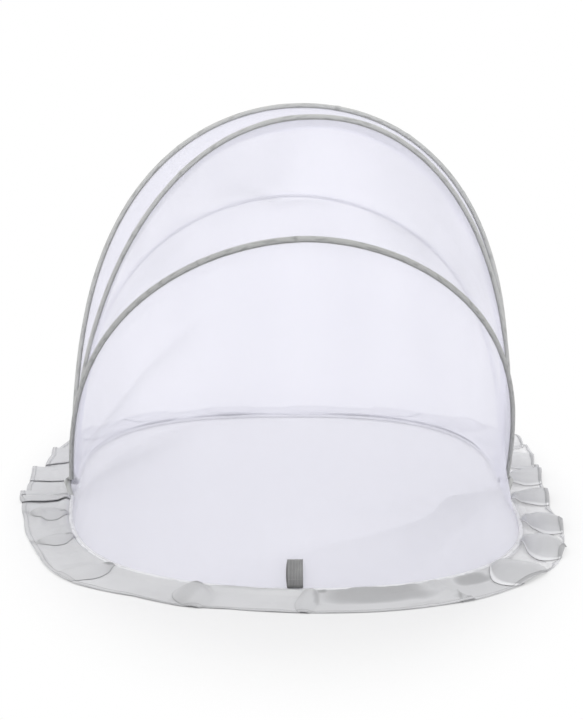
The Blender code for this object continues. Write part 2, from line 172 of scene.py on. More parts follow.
# A painted shadow line along the rear base tape, where the seam lies in shade, as (metres from the right
# pivot, half thickness)
PAINTED_SHADOW_LINE = ((0.0, 0.0), (0.28, 0.0), (0.32, 0.0012), (0.37, 0.0015), (0.50, 0.0014), (0.56, 0.0013),
          (0.64, 0.0024), (0.67, 0.0017), (0.695, 0.0004), (0.79, 0.0003), (0.81, 0.0010), (0.845, 0.0027),
          (0.87, 0.0024), (0.92, 0.0008), (0.935, 0.0002), (0.955, 0.0003), (0.97, 0.0018), (1.02, 0.0021),
          (1.05, 0.0012), (1.10, 0.0006), (1.24, 0.0005), (1.30, 0.0))
PAINTED_SHADOW_START = 0.03
PAINTED_SHADOW_STATIONS = 700
PAINTED_SHADOW_ROUND = 9
PAINTED_SHADOW_THINNEST = 0.0001
# Where it lies in from the rod and above it, as shares of the sleeve's half width
PAINTED_SHADOW_INWARD = 0.75
PAINTED_SHADOW_ABOVE = 1.05
PAINTED_SHADOW_WAVES = Wrinkles(9, 0, 0.0008)
PAINTED_SHADOW_LUMPS = Wrinkles(40, 0, 0.5)

# Net panels: how far each is drawn in between its hoops, as a share of the gap, how much it wrinkles, how
# much of its seam allowance shows along the hoop behind it, and how much painted shade its soft folds have
Panel = namedtuple("Panel", "name pull_share wrinkle_share doubled folds")
PANELS = (
    Panel("net_rear", 0.05, 1.3, 0.0, 0.3),
    Panel("net_upper_rear", 0.05, 1.0, 0.0, 0.3),
    Panel("net_crown", 0.20, 1.0, 0.0, 0.3),
    Panel("net_upper_front", 0.05, 0.8, 1.0, 0.6),
    Panel("net_front", 0.05, 0.6, 0.2, 0.2),
)
# A darker, less open patch of the front panel, bounded by lines of (share of the way round from the right
# rivet, share of the way to the front). It is darker past the first line and a little less so past the
# second.
DOUBLE_FROM = ((0.0, 0.66), (0.25, 0.70), (0.29, 0.72), (0.345, 0.73), (0.36, 0.76), (0.375, 0.80),
               (0.42, 0.835), (0.47, 0.87), (0.60, 0.96))
DOUBLE_TO = ((0.0, 0.62), (0.27, 0.78), (0.315, 0.82), (0.34, 0.85), (0.36, 0.88), (0.375, 0.92),
             (0.40, 0.95), (0.50, 1.05))
DOUBLE_STRENGTH = ((0.18, 0.0), (0.25, 0.45), (0.36, 0.68), (0.42, 0.42), (0.52, 0.25), (0.62, 0.0))
DOUBLE_FADE = 0.5
DOUBLE_EDGE = 0.006
DOUBLE_TO_SHARE = 0.5
# Painted shade of softer folds: the panel, how dark, over what share of the panel it fades, and the line
PAINTED_FOLD_SHADES = ((4, 0.30, 0.05, ((0.25, 0.71), (0.31, 0.72), (0.365, 0.73), (0.41, 0.75), (0.50, 0.76))),
             (4, 0.80, 0.07, ((0.60, 0.50), (0.675, 0.55), (0.745, 0.60), (0.815, 0.67), (0.90, 0.76))),
             (4, 0.72, 0.05, ((0.56, 0.42), (0.62, 0.48), (0.69, 0.52), (0.775, 0.60), (0.86, 0.68))),
             (4, 0.80, 0.06, ((0.58, 0.12), (0.665, 0.22), (0.735, 0.32), (0.825, 0.38), (0.90, 0.44))),
             (3, 1.00, 0.08, ((0.44, 0.62), (0.52, 0.60), (0.565, 0.38), (0.60, 0.20))),
             (3, 0.90, 0.08, ((0.57, 0.60), (0.60, 0.46), (0.635, 0.36), (0.68, 0.30))),
             (3, 0.90, 0.10, ((0.32, 0.70), (0.36, 0.62), (0.40, 0.66), (0.46, 0.52))))
FOLD_END = 0.08
FOLD_EDGE = 0.02
# Painted shade of the softest folds, everywhere: two sizes of them, how dark they are without any, for their
# own depth and for that of the folds of tension
SOFT_FOLD_SHADES = (Wrinkles(4, 2, 1), Wrinkles(13, 1.5, 1))
SOFT_BASE = 0.5
SOFT_STRENGTH = 0.7
SOFT_TENSION = 1.5
NET_COLUMNS = 150
NET_ROWS = 48
NET_START = 0.012
# How much closer the columns stand beside the rivets
NET_CROWDING = 0.55
# How far inside the seams the net begins, as a share of the sleeve's half width and at most of the gap
NET_INSET = 0.5
NET_INSET_MOST = 0.2
# How full a panel's curve from hoop to hoop is: below 1 it is fuller
BELLY_POWER = 0.9
# The net's wrinkles, with their depths as shares of the one depth that is set, and how far in from the
# edges or out from the rivets some of them reach
LONG_FOLDS = Wrinkles(11, 1.2, 1.6)
SHORT_FOLDS = Wrinkles(38, 2.5, 0.5)
EDGE_PUCKERS = Wrinkles(90, 3, 0.5)
EDGE_PUCKER_REACH = 0.02
TENSION_FOLDS = Wrinkles(7, 3, 2.6)
TENSION_REACH = 0.22
SMOOTH_EDGE = 0.012
# The seam allowance, and how ragged and soft its edge is
SEAM_ALLOWANCE = 0.017
SEAM_RAGGED = Wrinkles(8, 0, 0.2)
SEAM_EDGE = Ease(0.9, 0.2)
# Beside the rivets the last panel is drawn in further: how many times as far, and over what length of hoop
CORNER_PULL = 3.0
CORNER_LENGTH = 0.30

# Foot strip: folds are placed along the seam in metres from the right pivot, with their middle's place at
# the seam and at the hem. Widths and rises are those at the seam, midway out and at the hem. facing is +1
# where the fold's open side looks on along the seam and -1 where it looks back. pale tells how pale and
# sheer the cloth is on the fold and after it: paler partly where it lies single and partly as painted light
# on its lit faces, and below 0 darker with painted shade. steps tells how much further than the hem line its
# two edges reach.
Fold = namedtuple("Fold", "kind facing seam hem widths rises pale steps")
PETAL, PANEL, TUCK = range(3)
FLAT = (0.0, 0.0)
FRONT_FOLDS = (
    Fold(PETAL, 1, 0.052, 0.020, (0.004, 0.084, 0.110), (0.002, 0.011, 0.009), (0.0, 1.0), (0.000, -0.004)),
    Fold(PETAL, 1, 0.190, 0.205, (0.004, 0.092, 0.062), (0.002, 0.014, 0.009), (0.0, 1.0), (0.002, -0.004)),
    Fold(PETAL, 1, 0.306, 0.341, (0.004, 0.104, 0.050), (0.002, 0.015, 0.007), (0.0, 0.9), (0.000, -0.001)),
    Fold(PETAL, 1, 0.440, 0.462, (0.026, 0.086, 0.060), (0.003, 0.008, 0.004), (0.0, 0.35), (0.000, 0.000)),
    Fold(TUCK, -1, 0.566, 0.562, (0.008, 0.012, 0.016), (0.001, 0.002, 0.0012), (0.1, 0.0), (0.001, 0.000)),
    Fold(PETAL, 1, 0.734, 0.743, (0.008, 0.024, 0.010), (0.001, 0.004, 0.0008), (-0.1, 0.0), (0.002, 0.000)),
    Fold(PETAL, 1, 0.886, 0.857, (0.004, 0.046, 0.014), (0.002, 0.008, 0.0006), (-0.1, 0.0), (0.003, 0.000)),
    Fold(PETAL, -1, 1.034, 1.038, (0.002, 0.044, 0.034), (0.001, 0.008, 0.0010), (-0.1, 0.0), FLAT),
    Fold(PETAL, -1, 1.199, 1.196, (0.004, 0.044, -0.030), (0.002, 0.009, 0.000), (-0.1, 0.0), FLAT),
    Fold(PETAL, -1, 1.334, 1.366, (0.004, 0.050, -0.050), (0.002, 0.009, 0.000), (-0.1, 0.0), FLAT),
    Fold(TUCK, -1, 1.427, 1.428, (0.020, 0.034, 0.020), (0.001, 0.0035, 0.001), (-0.1, 0.0), (0.000, 0.003)),
)
REAR_FOLDS = (
    Fold(PETAL, -1, 0.072, 0.112, (0.004, 0.084, 0.092), (0.002, 0.010, 0.009), (0.1, 1.0), (-0.002, 0.006)),
    Fold(PETAL, -1, 0.208, 0.216, (0.006, 0.096, 0.074), (0.002, 0.009, 0.007), (0.4, 1.0), (-0.002, 0.006)),
    Fold(PETAL, -1, 0.336, 0.348, (0.008, 0.084, 0.070), (0.002, 0.009, 0.007), (0.7, 0.8), (-0.002, 0.008)),
    Fold(PETAL, -1, 0.470, 0.480, (0.014, 0.080, 0.060), (0.002, 0.007, 0.005), (0.3, 0.3), (-0.002, 0.006)),
    Fold(PANEL, -1, 0.590, 0.598, (0.050, 0.062, 0.070), (0.001, 0.0025, 0.0015), (0.1, 0.1), (0.000, 0.004)),
    Fold(PANEL, -1, 0.716, 0.720, (0.050, 0.062, 0.070), (0.001, 0.0025, 0.0015), FLAT, (0.000, 0.004)),
    Fold(PANEL, 1, 0.846, 0.846, (0.050, 0.062, 0.070), (0.001, 0.0025, 0.0015), FLAT, (0.004, 0.000)),
    Fold(PANEL, 1, 0.974, 0.970, (0.054, 0.066, 0.076), (0.001, 0.0025, 0.0015), FLAT, (0.004, 0.000)),
    Fold(PANEL, 1, 1.118, 1.108, (0.060, 0.076, 0.090), (0.001, 0.0025, 0.0015), FLAT, (0.006, -0.004)),
    Fold(PANEL, 1, 1.271, 1.272, (0.072, 0.096, 0.124), (0.001, 0.0022, 0.0015), FLAT, (0.006, -0.012)),
    Fold(PANEL, 1, 1.407, 1.388, (0.094, 0.094, 0.098), (0.001, 0.0022, 0.0012), FLAT, (0.007, -0.001)),
    Fold(PANEL, 1, 1.560, 1.552, (0.098, 0.098, 0.098), (0.001, 0.0022, 0.0012), FLAT, (0.008, 0.006)),
)
# Painted shade on the cloth, and painted paler where the strength is below 0: (place along the seam, reach,
# half length, half width, strength)
FRONT_SHADOWS = ((0.517, 0.022, 0.030, 0.017, 0.68), (0.878, 0.052, 0.014, 0.034, 0.22),
                 (0.877, 0.012, 0.007, 0.009, 0.9), (0.655, 0.026, 0.070, 0.036, 0.60),
                 (0.728, 0.036, 0.004, 0.028, 0.40), (0.720, 0.010, 0.006, 0.007, 0.7),
                 (0.810, 0.009, 0.060, 0.006, 0.30), (0.567, 0.078, 0.010, 0.016, 0.25),
                 (0.500, 0.050, 0.070, 0.050, 0.12), (0.604, 0.084, 0.034, 0.012, -0.30),
                 (0.345, 0.046, 0.028, 0.020, 0.16), (0.215, 0.044, 0.020, 0.020, 0.14),
                 (0.462, 0.050, 0.040, 0.030, 0.06), (0.583, 0.056, 0.030, 0.028, 0.14),
                 (1.064, 0.042, 0.016, 0.026, 0.12), (1.034, 0.012, 0.006, 0.007, 0.8),
                 (1.210, 0.032, 0.010, 0.022, 0.16), (1.200, 0.010, 0.004, 0.006, 0.7),
                 (1.344, 0.030, 0.008, 0.020, 0.14), (1.335, 0.010, 0.003, 0.006, 0.7),
                 (1.428, 0.012, 0.003, 0.008, 0.5))
# Long soft creases, as lines of (place along the seam, reach), and the pinch at the hem
FRONT_CREASES = (((0.884, 0.020), (0.840, 0.010), (0.798, 0.012), (0.755, 0.014)),
                 ((0.700, 0.020), (0.670, 0.010), (0.643, 0.015), (0.600, 0.015)),
                 ((0.614, 0.083), (0.595, 0.061), (0.576, 0.046)),
                 ((1.375, 0.044), (1.290, 0.043)),
                 ((1.290, 0.056), (1.262, 0.030), (1.268, 0.006)),
                 ((1.150, 0.052), (1.120, 0.030), (1.128, 0.006)))
CREASE_HEIGHT = 0.0026
CREASE_WIDTH = 0.0055
# The thin lines of the V that the hem is pinched into, painted dark as the shade in its folds: how dark and
# wide they are, and how close the columns of the cloth stand there
HEM_PINCH = ((0.557, 0.043), (0.568, 0.068), (0.580, 0.094), (0.570, 0.087), (0.557, 0.072))
PINCH_SHADE = 0.48
PINCH_WIDTH = 0.0020
PINCH_COLUMN = 0.0012
# How far the strip reaches from the seam line, as (place along the seam, reach)
FRONT_REACH = ((0.0, 0.066), (0.10, 0.060), (0.20, 0.062), (0.34, 0.068), (0.42, 0.074), (0.50, 0.080),
               (0.56, 0.090), (0.62, 0.094), (0.75, 0.092), (0.82, 0.082), (0.87, 0.090), (0.93, 0.077),
               (1.01, 0.086), (1.07, 0.079), (1.13, 0.068), (1.22, 0.065), (1.35, 0.069), (1.479, 0.076))
REAR_REACH = ((0.0, 0.064), (0.12, 0.066), (0.22, 0.070), (0.35, 0.082), (0.60, 0.080), (1.00, 0.072),
              (1.27, 0.062), (1.34, 0.070), (1.43, 0.072), (1.526, 0.072))

# Cross-sections of the folds, as (share of the width from the middle, share of the rise, layers of cloth
# below it, and 0 on the fold, 1 beside it or 2 on its front edge, which has a painted highlight)
SECTIONS = (
    ((-0.78, 0.00, 0.0, 1), (-0.60, 0.06, 0.0, 1), (-0.48, 0.24, 0.2, 0), (-0.36, 0.58, 0.6, 0),
     (-0.24, 0.86, 1.0, 0), (-0.12, 0.98, 1.0, 0), (0.0, 1.00, 1.0, 0), (0.12, 0.95, 1.0, 0),
     (0.24, 0.80, 1.0, 0), (0.36, 0.54, 1.0, 0), (0.47, 0.24, 1.0, 0), (0.515, 0.14, 1.0, 2),
     (0.555, 0.07, 1.0, 2), (0.57, 0.04, 1.0, 2), (0.56, 0.01, 0.8, 2), (0.50, 0.0, 0.6, 0),
     (0.40, 0.0, 0.5, 0), (0.36, 0.0, 0.25, 1), (0.40, 0.0, 0.0, 1), (0.62, 0.0, 0.0, 1)),
    ((-0.50, 0.0, 0.0, 1), (-0.37, 0.0, 0.2, 1), (-0.35, 0.0, 0.5, 1), (-0.37, 0.0, 0.8, 0),
     (-0.47, 0.10, 1.0, 0), (-0.503, 0.22, 1.3, 0), (-0.49, 0.42, 1.8, 0), (-0.42, 0.66, 2.0, 0),
     (-0.28, 0.88, 2.0, 0), (-0.10, 0.98, 2.0, 0), (0.10, 1.0, 2.0, 0), (0.28, 0.97, 2.0, 0),
     (0.42, 0.88, 2.0, 0), (0.48, 0.74, 1.8, 0), (0.505, 0.48, 1.4, 0), (0.49, 0.20, 1.0, 0),
     (0.40, 0.0, 0.8, 0), (0.36, 0.0, 0.4, 1), (0.40, 0.0, 0.1, 1), (0.52, 0.0, 0.0, 1)),
    ((-2.4, 0.04, 0.0, 0), (-1.9, 0.16, 0.2, 0), (-1.4, 0.38, 0.8, 0), (-1.0, 0.62, 1.5, 0),
     (-0.65, 0.84, 2.0, 0), (-0.35, 0.97, 2.0, 0), (-0.14, 1.0, 2.0, 0), (-0.03, 0.90, 1.8, 0),
     (0.0, 0.72, 1.5, 0), (-0.04, 0.50, 1.2, 0), (-0.22, 0.26, 1.0, 0), (-0.55, 0.12, 1.0, 1),
     (-0.85, 0.05, 0.9, 1), (-0.92, 0.0, 0.5, 1), (-0.85, 0.0, 0.1, 1), (-0.4, 0.0, 0.0, 1),
     (0.0, 0.0, 0.0, 1), (0.3, 0.0, 0.0, 1)),
)
# The strip's rows, the distance between its columns, and where a column may begin
STRIP_ROWS = 30
STRIP_COLUMN = 0.0035
STRIP_END = 0.001
# A fold's width at which it has opened out flat, the width that takes its full layers, how far from the
# rivets folds have their full height, and how pale the cloth after a fold is for its front edge to have a
# painted highlight
OPENING = 0.004
LAYER_WIDTH = 0.012
FOLD_START = 0.006
PALE_RIM_FROM = 0.3
# How close to the pinch the columns stand closer
PINCH_MARGIN = 0.01
# The strip's inner edge, its height above the floor as (share of the way out, metres), and how low it lies
# beside the rivets, where it also turns to point straight out to the side
STRIP_INNER = 0.0022
STRIP_PROFILE = ((0, 0.0056), (0.05, 0.0080), (0.11, 0.0078), (0.24, 0.0038), (0.5, 0.0018), (1.0, 0.0009))
STRIP_RISES = Ease(0.012, 0.02)
LOW_SHARE = 0.35
SIDE_TURN = 0.042
STRIP_LOWEST = 0.0006
# The strip's wrinkles, how far out they are in full and how far from the rivets, and how much they die down
# towards the hem, with what power
HEM_WAVES = Wrinkles(14, 0, 0.0025)
STRIP_WAVES = Wrinkles(20, 1.6, 0.0034)
STRIP_RIPPLES = Wrinkles(62, 1.8, 0.0011)
STRIP_GATHERS = Wrinkles(150, 2.0, 0.0011)
GATHERS_FADE = 0.16
LOOSE_FROM = 0.25
LOOSE_START = 0.03
HEM_CALM = 0.6
HEM_CALM_POWER = 3
# A shadow's outline is rounder or squarer by its power, and its edge is soft
SHADOW_POWER = 3
SHADOW_EDGE = Ease(0.1, 1.3)
# The turned hem: its rows as (gaps further in, hem widths further in, gaps up), the gap between its plies,
# how upright its normal stays, how low it may lie, and the stitch line's place
HEM_ROLL = ((-0.6, 0.0, 0.5), (-0.3, 0.0, 1.0), (0.0, 0.24, 1.1), (0.0, 0.32, 1.1), (0.0, 0.6, 1.1),
            (0.0, 0.9, 1.1), (0.0, 1.0, 0.2))
HEM_HIGHLIGHT_ROWS = 3
HEM_GAP = 0.0005
HEM_UPRIGHT = 0.3
HEM_LOWEST = 0.0004
HEM_STITCH_IN = 0.0016
HEM_STITCH_GAPS = 1.4
# How pale its edge's painted highlight is, how pale its two plies are for the cloth beside them, and how
# much darker than that they are, partly for lying double and partly as painted shade, with how many times
# more on the right-hand lobes
HEM_HIGHLIGHT = 0.9
HEM_SHEER = 0.3
HEM_SHADE = 0.12
HEM_LOBE = 3.2

# Pull tab: its place past the seam's middle, its standing clear of the net and off the tape, what its
# length is short of its solid's, half the gap between its plies, and how far the front one bows
TAB_ASIDE = 0.0145
TAB_CLEAR = 0.0015
TAB_FOOT = 0.0008
TAB_SHORT = 0.004
TAB_HALF_GAP = 0.0008
TAB_BOW = 0.0012
TAB_HEAD = 0.001
TAB_PLY = 0.001
TAB_STATIONS = 18
TAB_TURN_STATIONS = 9
TAB_COLUMNS = 57
# Its ribs, how far askew the back ply is at the head and bows further, and with what power
TAB_RIB = 0.0022
TAB_RIB_DEPTH = 0.00024
TAB_ASKEW = 0.0006
TAB_ASKEW_BOW = 0.0018
TAB_ASKEW_POWER = 0.8
# Painted shade at the tab's foot, as (height up the tab, strength)
TAB_SHADE = ((0, 1.0), (0.002, 0.7), (0.004, 0.3), (0.02, 0.0))
# Its stitch line, as shares of its length and width, and how far that stands off the cloth
TAB_SEAM_SHARE = 0.30
TAB_SEAM_HALF = 0.46
TAB_SEAM_STATIONS = 12
TAB_SEAM_OFF = 0.0006

# Stitches: where on its pitch each begins, crosses its middle and ends
STITCH_SHARES = (0.14, 0.5, 0.86)

# Pitches of the weaves, and the depth of each surface's relief
NET_CELL = 0.0012
NET_THREAD = (-1.0, 1.2)
NET_RELIEF = 0.00012
TWILL_ALONG = 0.0011
TWILL_ACROSS = 0.0016
TAPE_RELIEF = 0.00015
STRIP_WEAVE = 0.0009
STRIP_RELIEF = 0.00018
THREAD_RELIEF = 0.00005
WEBBING_PICK = 0.0008
WEBBING_RELIEF = 0.00022
STEEL_RELIEF = 0.00003
MOULDING_RELIEF = 0.00004

# How open the net is between its threads, and how much less open on a thread, where it lies double and
# where its folds are painted in shade
NET_OPEN = 0.66
THREAD_CLOSES = 0.24
DOUBLE_CLOSES = 0.35
# What the strip's cloth lets through where it lies double, and how much more where it lies single and where
# it is painted lit: light that spreads in it, and light that goes straight through its holes
STRIP_GLOW = (0.08, 0.3)
STRIP_HOLES = (0.01, 0.45)

# Colours of the fittings, linear: the rods, the rivets and washers, and the two between which the moulding
# is
ROD_STEEL = (0.43, 0.44, 0.46)
PLATED_STEEL = (0.56, 0.57, 0.59)
DARK_MOULDING = ((0.030, 0.031, 0.034), (0.046, 0.047, 0.051))

# Lamps, as (name, place, size, watts), and what they face
LAMPS = (
    ("overhead", (-0.4, 2.6, 2.9), 2.2, 40.0),
    ("fill_left", (-2.6, -2.4, 2.6), 3.0, 35.0),
    ("fill_right", (2.6, -2.4, 2.6), 3.0, 35.0),
)
LAMP_AIM = (0, 0, 0.2)
WORLD_LIGHT = 0.87
WHITE = (1, 1, 1, 1)
# The floor: its size and its grey colour, which paints a shade round the tent besides the shadows the lamps
# cast, and where it turns plain white to the eye, by the distance from the origin with the width counted
# this many times
FLOOR_SIZE = 30
FLOOR_COLOUR = (0.772, 0.772, 0.772, 1)
FLOOR_STRETCH = (2.5, 1.0, 1.0)
FLOOR_WHITE = (0.76, 1.14)
FLOOR_GLOW = 0.03
# The camera, by the photograph's viewing angle
CAMERA_ELEVATION = math.radians(10.54)
CAMERA_AZIMUTH = math.radians(-1.03)
CAMERA_DISTANCE = 4.005
CAMERA_AIM = Vector((0.0023, -0.0070, 0.2061))
SENSOR_WIDTH = 36.0


def length_setting(name, description, default, least=0.0):
    """A length that can be set."""
    return FloatProperty(name=name, description=description, default=default, min=least, unit="LENGTH")


def colour_setting(name, description, default):
    """A colour that can be set."""
    return FloatVectorProperty(name=name, description=description, default=default, min=0.0, max=1.0,
                               subtype="COLOR", size=3)


class TentSizes(bpy.types.PropertyGroup):
    """The sizes that the dressed tent is made to."""
    sleeve_radius: length_setting("Sleeve radius", "Half the width of the tape sleeve", 0.0036, 0.002)
    sleeve_lip: length_setting("Sleeve lip", "Width of the sewn edge of the tape on the net", 0.0012)
    sleeve_start: length_setting("Sleeve start", "Distance from the pivot to the sleeve's end", 0.0040, 0.002)
    layer: length_setting("Layer", "Room that one layer of pleated cloth takes", 0.0006, 0.0003)
    hem_width: length_setting("Hem width", "Width of the turned hem of the foot strip", 0.008, 0.002)
    wrinkle: length_setting("Wrinkle", "Depth of the soft wrinkles in the net", 0.0024)
    stitch_pitch: length_setting("Stitch pitch", "Distance from one stitch to the next", 0.003, 0.001)
    thread_radius: length_setting("Thread radius", "Half the thickness of the sewing thread", 0.0002, 0.0001)
    lens: FloatProperty(name="Lens", description="Focal length of the camera in millimetres", default=134.3,
                        min=20.0)


class TentColours(bpy.types.PropertyGroup):
    """The colours of the cloths and threads, linear."""
    net: colour_setting("Net", "Colour of the net's thread", (0.885, 0.880, 0.975))
    # The colour where the net lies double is also that of the painted shade in its folds
    doubled_and_shaded_net: colour_setting("Doubled net", "Colour of the net where it lies double", (0.690, 0.690, 0.755))
    grey_tape: colour_setting("Grey tape", "Colour of the upper hoops' tapes", (0.550, 0.556, 0.548))
    pale_tape: colour_setting("Pale tape", "Colour of the rear hoops' tapes", (0.880, 0.880, 0.900))
    # A near-black line painted as the shadow along the rear seam
    gathered_edge: colour_setting("Gathered edge", "Colour of the net's gathered edge", (0.030, 0.030, 0.032))
    white_edging: colour_setting("White edging", "Colour of the front base tape", (0.780, 0.780, 0.800))
    # The strip's grey and pale colours are partly shaded and lit copies of one cloth, as painted shade and
    # light
    strip: colour_setting("Strip", "Colour of the foot strip's doubled cloth", (0.715, 0.718, 0.732))
    bare: colour_setting("Bare strip", "Colour of the foot strip's single cloth", (0.950, 0.950, 0.965))
    thread: colour_setting("Thread", "Colour of the sewing thread", (0.420, 0.420, 0.430))
    webbing: colour_setting("Webbing", "Colour of the pull tab", (0.330, 0.330, 0.332))


def sizes():
    """The sizes in use."""
    return bpy.context.scene.tent_sizes


def colours():
    """The colours in use."""
    return bpy.context.scene.tent_colours


# Outlines of the hoops

def unit(vectors):
    """Vectors at length one."""
    return vectors / np.maximum(np.linalg.norm(vectors, axis=-1, keepdims=True), NO_LENGTH)


def smoothstep(value):
    """Ease from 0 to 1."""
    value = np.clip(value, 0.0, 1.0)
    return value * value * (3 - 2 * value)


def eased(value, ease):
    """How far a value is through an ease, from 0 to 1."""
    return smoothstep((value - ease.start) / ease.length)


def read_off(value, table):
    """Values read off a table of pairs."""
    return np.interp(value, *np.array(table).T)


def nearer_end(distances, total):
    """Distances to the nearer of a line's two ends."""
    return np.minimum(distances, total - distances)


def dense_outline(hoop):
    """Points (across, along) of the hoop from its right pivot to its left, and their arc lengths."""
    turn = np.linspace(0, math.pi, OUTLINE_SAMPLES + 1)
    along_share = np.sin(turn)
    across_share = np.clip(1 - along_share ** hoop.reach_power, 0, 1) ** (1 / hoop.span_power)
    along = hoop.reach * along_share
    across = HALF_SPAN * np.sign(np.cos(turn)) * across_share + hoop.lean_share * along
    steps = np.hypot(np.diff(across), np.diff(along))
    return across, along, np.concatenate(([0.0], np.cumsum(steps)))


def rod_line(index, distances):
    """World points of a hoop's rod at arc distances from the right pivot, with the crank beside the rivet."""
    hoop = HOOPS[index]
    across, along, arc = dense_outline(hoop)
    x, r = np.interp(distances, arc, across), np.interp(distances, arc, along)
    side = np.where(distances < arc[-1] / 2, 1.0, -1.0)
    cranked = smoothstep((nearer_end(distances, arc[-1]) - NECK_STRAIGHT) / (NECK_LENGTH - NECK_STRAIGHT))
    rank = index - MIDDLE_RANK
    x = x + side * rank * EYE_PITCH * (1 - cranked)
    offset = rank * STACK_PITCH * cranked
    angle = math.radians(hoop.degrees)
    points = np.stack([x, -r * math.cos(angle) - offset * math.sin(angle),
                       r * math.sin(angle) - offset * math.cos(angle)], axis=1)
    return points + np.array(PIVOT)


def hoop_length(index):
    """Arc length of a hoop from pivot to pivot."""
    return dense_outline(HOOPS[index])[2][-1]


def hoop_sides(index, points):
    """Unit vectors at a hoop's points: out from its middle, and square to its plane to the front."""
    angle = math.radians(HOOPS[index].degrees)
    front = np.array([0.0, -math.sin(angle), -math.cos(angle)])
    outward = unit(np.cross(front, unit(np.gradient(points, axis=0))))
    middle = points.mean(axis=0)
    outward *= np.sign(((points - middle) * outward).sum(axis=1))[len(points) // 2]
    return outward, np.broadcast_to(front, points.shape)


# Wrinkles

def soft_noise(*coordinates):
    """Smooth noise from -1 to 1 at every point of three arrays or numbers."""
    arrays = np.broadcast_arrays(*coordinates)
    values = [noise.noise(Vector(spot)) for spot in zip(*(a.ravel() for a in arrays))]
    return np.array(values).reshape(arrays[0].shape)


def wrinkles_over(wrinkles, along, across=0.0, shift=0.0, seed=0.0):
    """How a cloth's wrinkles rise and fall, from -1 to 1, at places along it and across it.

    shift and seed choose the stretch of noise, so that no two pieces wrinkle alike.
    """
    return soft_noise(along * wrinkles.along, across * wrinkles.across + shift, seed)


def wrinkles_round(wrinkles, along, around, seed):
    """The same on a tube, at places along it and round it."""
    return soft_noise(along[:, None] * wrinkles.along, np.cos(around) * wrinkles.across,
                      np.sin(around) * wrinkles.across + seed)


def hollow_shade(rise, hollows):
    """The painted shade in the hollows of a wrinkled tape."""
    return np.clip(-rise * hollows.strength - hollows.less, 0, hollows.most)


# Mesh makers

def lengths(points):
    """Arc lengths along a row of points."""
    return np.concatenate(([0.0], np.cumsum(np.linalg.norm(np.diff(points, axis=0), axis=1))))


def added(name, data):
    """Put a new object in the scene."""
    made = bpy.data.objects.new(name, data)
    bpy.context.scene.collection.objects.link(made)
    return made


def from_bmesh(name, work, material):
    """Turn a bmesh into an object with its material."""
    mesh = bpy.data.meshes.new(name)
    work.to_mesh(mesh)
    work.free()
    mesh.materials.append(material)
    return added(name, mesh)


def grid_object(name, places, material, shades, closed=False):
    """Make a smooth sheet from places[column, row], with a UV map in metres and values at its points."""
    columns, rows = places.shape[:2]
    along = lengths(places[:, rows // 2])
    across = lengths(places[columns // 2])
    work = bmesh.new()
    bmesh.ops.create_grid(work, x_segments=columns - 1, y_segments=rows - 1, size=1)
    layers = {key: work.verts.layers.float.new(key) for key in shades}
    spots = {}
    for vert in work.verts:
        column = round((vert.co.x + 1) / 2 * (columns - 1))
        row = round((vert.co.y + 1) / 2 * (rows - 1))
        spots[vert] = (column, row)
        vert.co = places[column, row]
        for key, layer in layers.items():
            vert[layer] = shades[key][column, row]
    cloth = work.loops.layers.uv.new("cloth")
    for face in work.faces:
        face.smooth = True
        for loop in face.loops:
            column, row = spots[loop.vert]
            loop[cloth].uv = (along[column], across[row])
    if closed:
        bmesh.ops.remove_doubles(work, verts=work.verts, dist=WELD)
        bmesh.ops.recalc_face_normals(work, faces=work.faces)
    return from_bmesh(name, work, material)


def grid_normals(places):
    """Unit normals of a grid of points."""
    return unit(np.cross(np.gradient(places, axis=0), np.gradient(places, axis=1)))


def tube_places(points, outward, front, wide, flat, around, swell=1.0):
    """Points of a soft tube round a line, wide along outward and flat along front."""
    sideways = outward[:, None, :] * (wide[:, None] * np.cos(around))[:, :, None] * swell
    through = front[:, None, :] * (flat[:, None] * np.sin(around))[:, :, None] * np.minimum(swell, FLAT_SWELL)
    return points[:, None, :] + sideways + through


def stitch_row(name, rows, material):
    """Make rows of short stitches. Each row is (points of the seam line, directions out of the cloth)."""
    bulge = sizes().thread_radius
    curve = bpy.data.curves.new(name, "CURVE")
    curve.dimensions = "3D"
    curve.bevel_depth = bulge
    curve.bevel_resolution = 1
    curve.use_fill_caps = True
    for points, outs in rows:
        arc = lengths(points)
        count = max(int(arc[-1] / sizes().stitch_pitch), 1)
        for step in range(count):
            ends = (step + np.array(STITCH_SHARES)) * arc[-1] / count
            line, out = [np.stack([np.interp(ends, arc, values[:, k]) for k in range(3)], axis=1)
                         for values in (points, outs)]
            line += unit(out) * np.array([[0.0], [bulge], [0.0]])
            spline = curve.splines.new("POLY")
            spline.points.add(len(line) - 1)
            for point, place in zip(spline.points, line):
                point.co = (*place, 1)
    curve.materials.append(material)
    drawn = bpy.data.objects.new(name, curve)
    mesh = bpy.data.meshes.new_from_object(drawn)
    bpy.data.objects.remove(drawn)
    return added(name, mesh)


def carried(body, slot, *pieces):
    """Let pieces ride on a body. slot is not used."""
    for piece in pieces:
        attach(piece, body)


# Shader maths

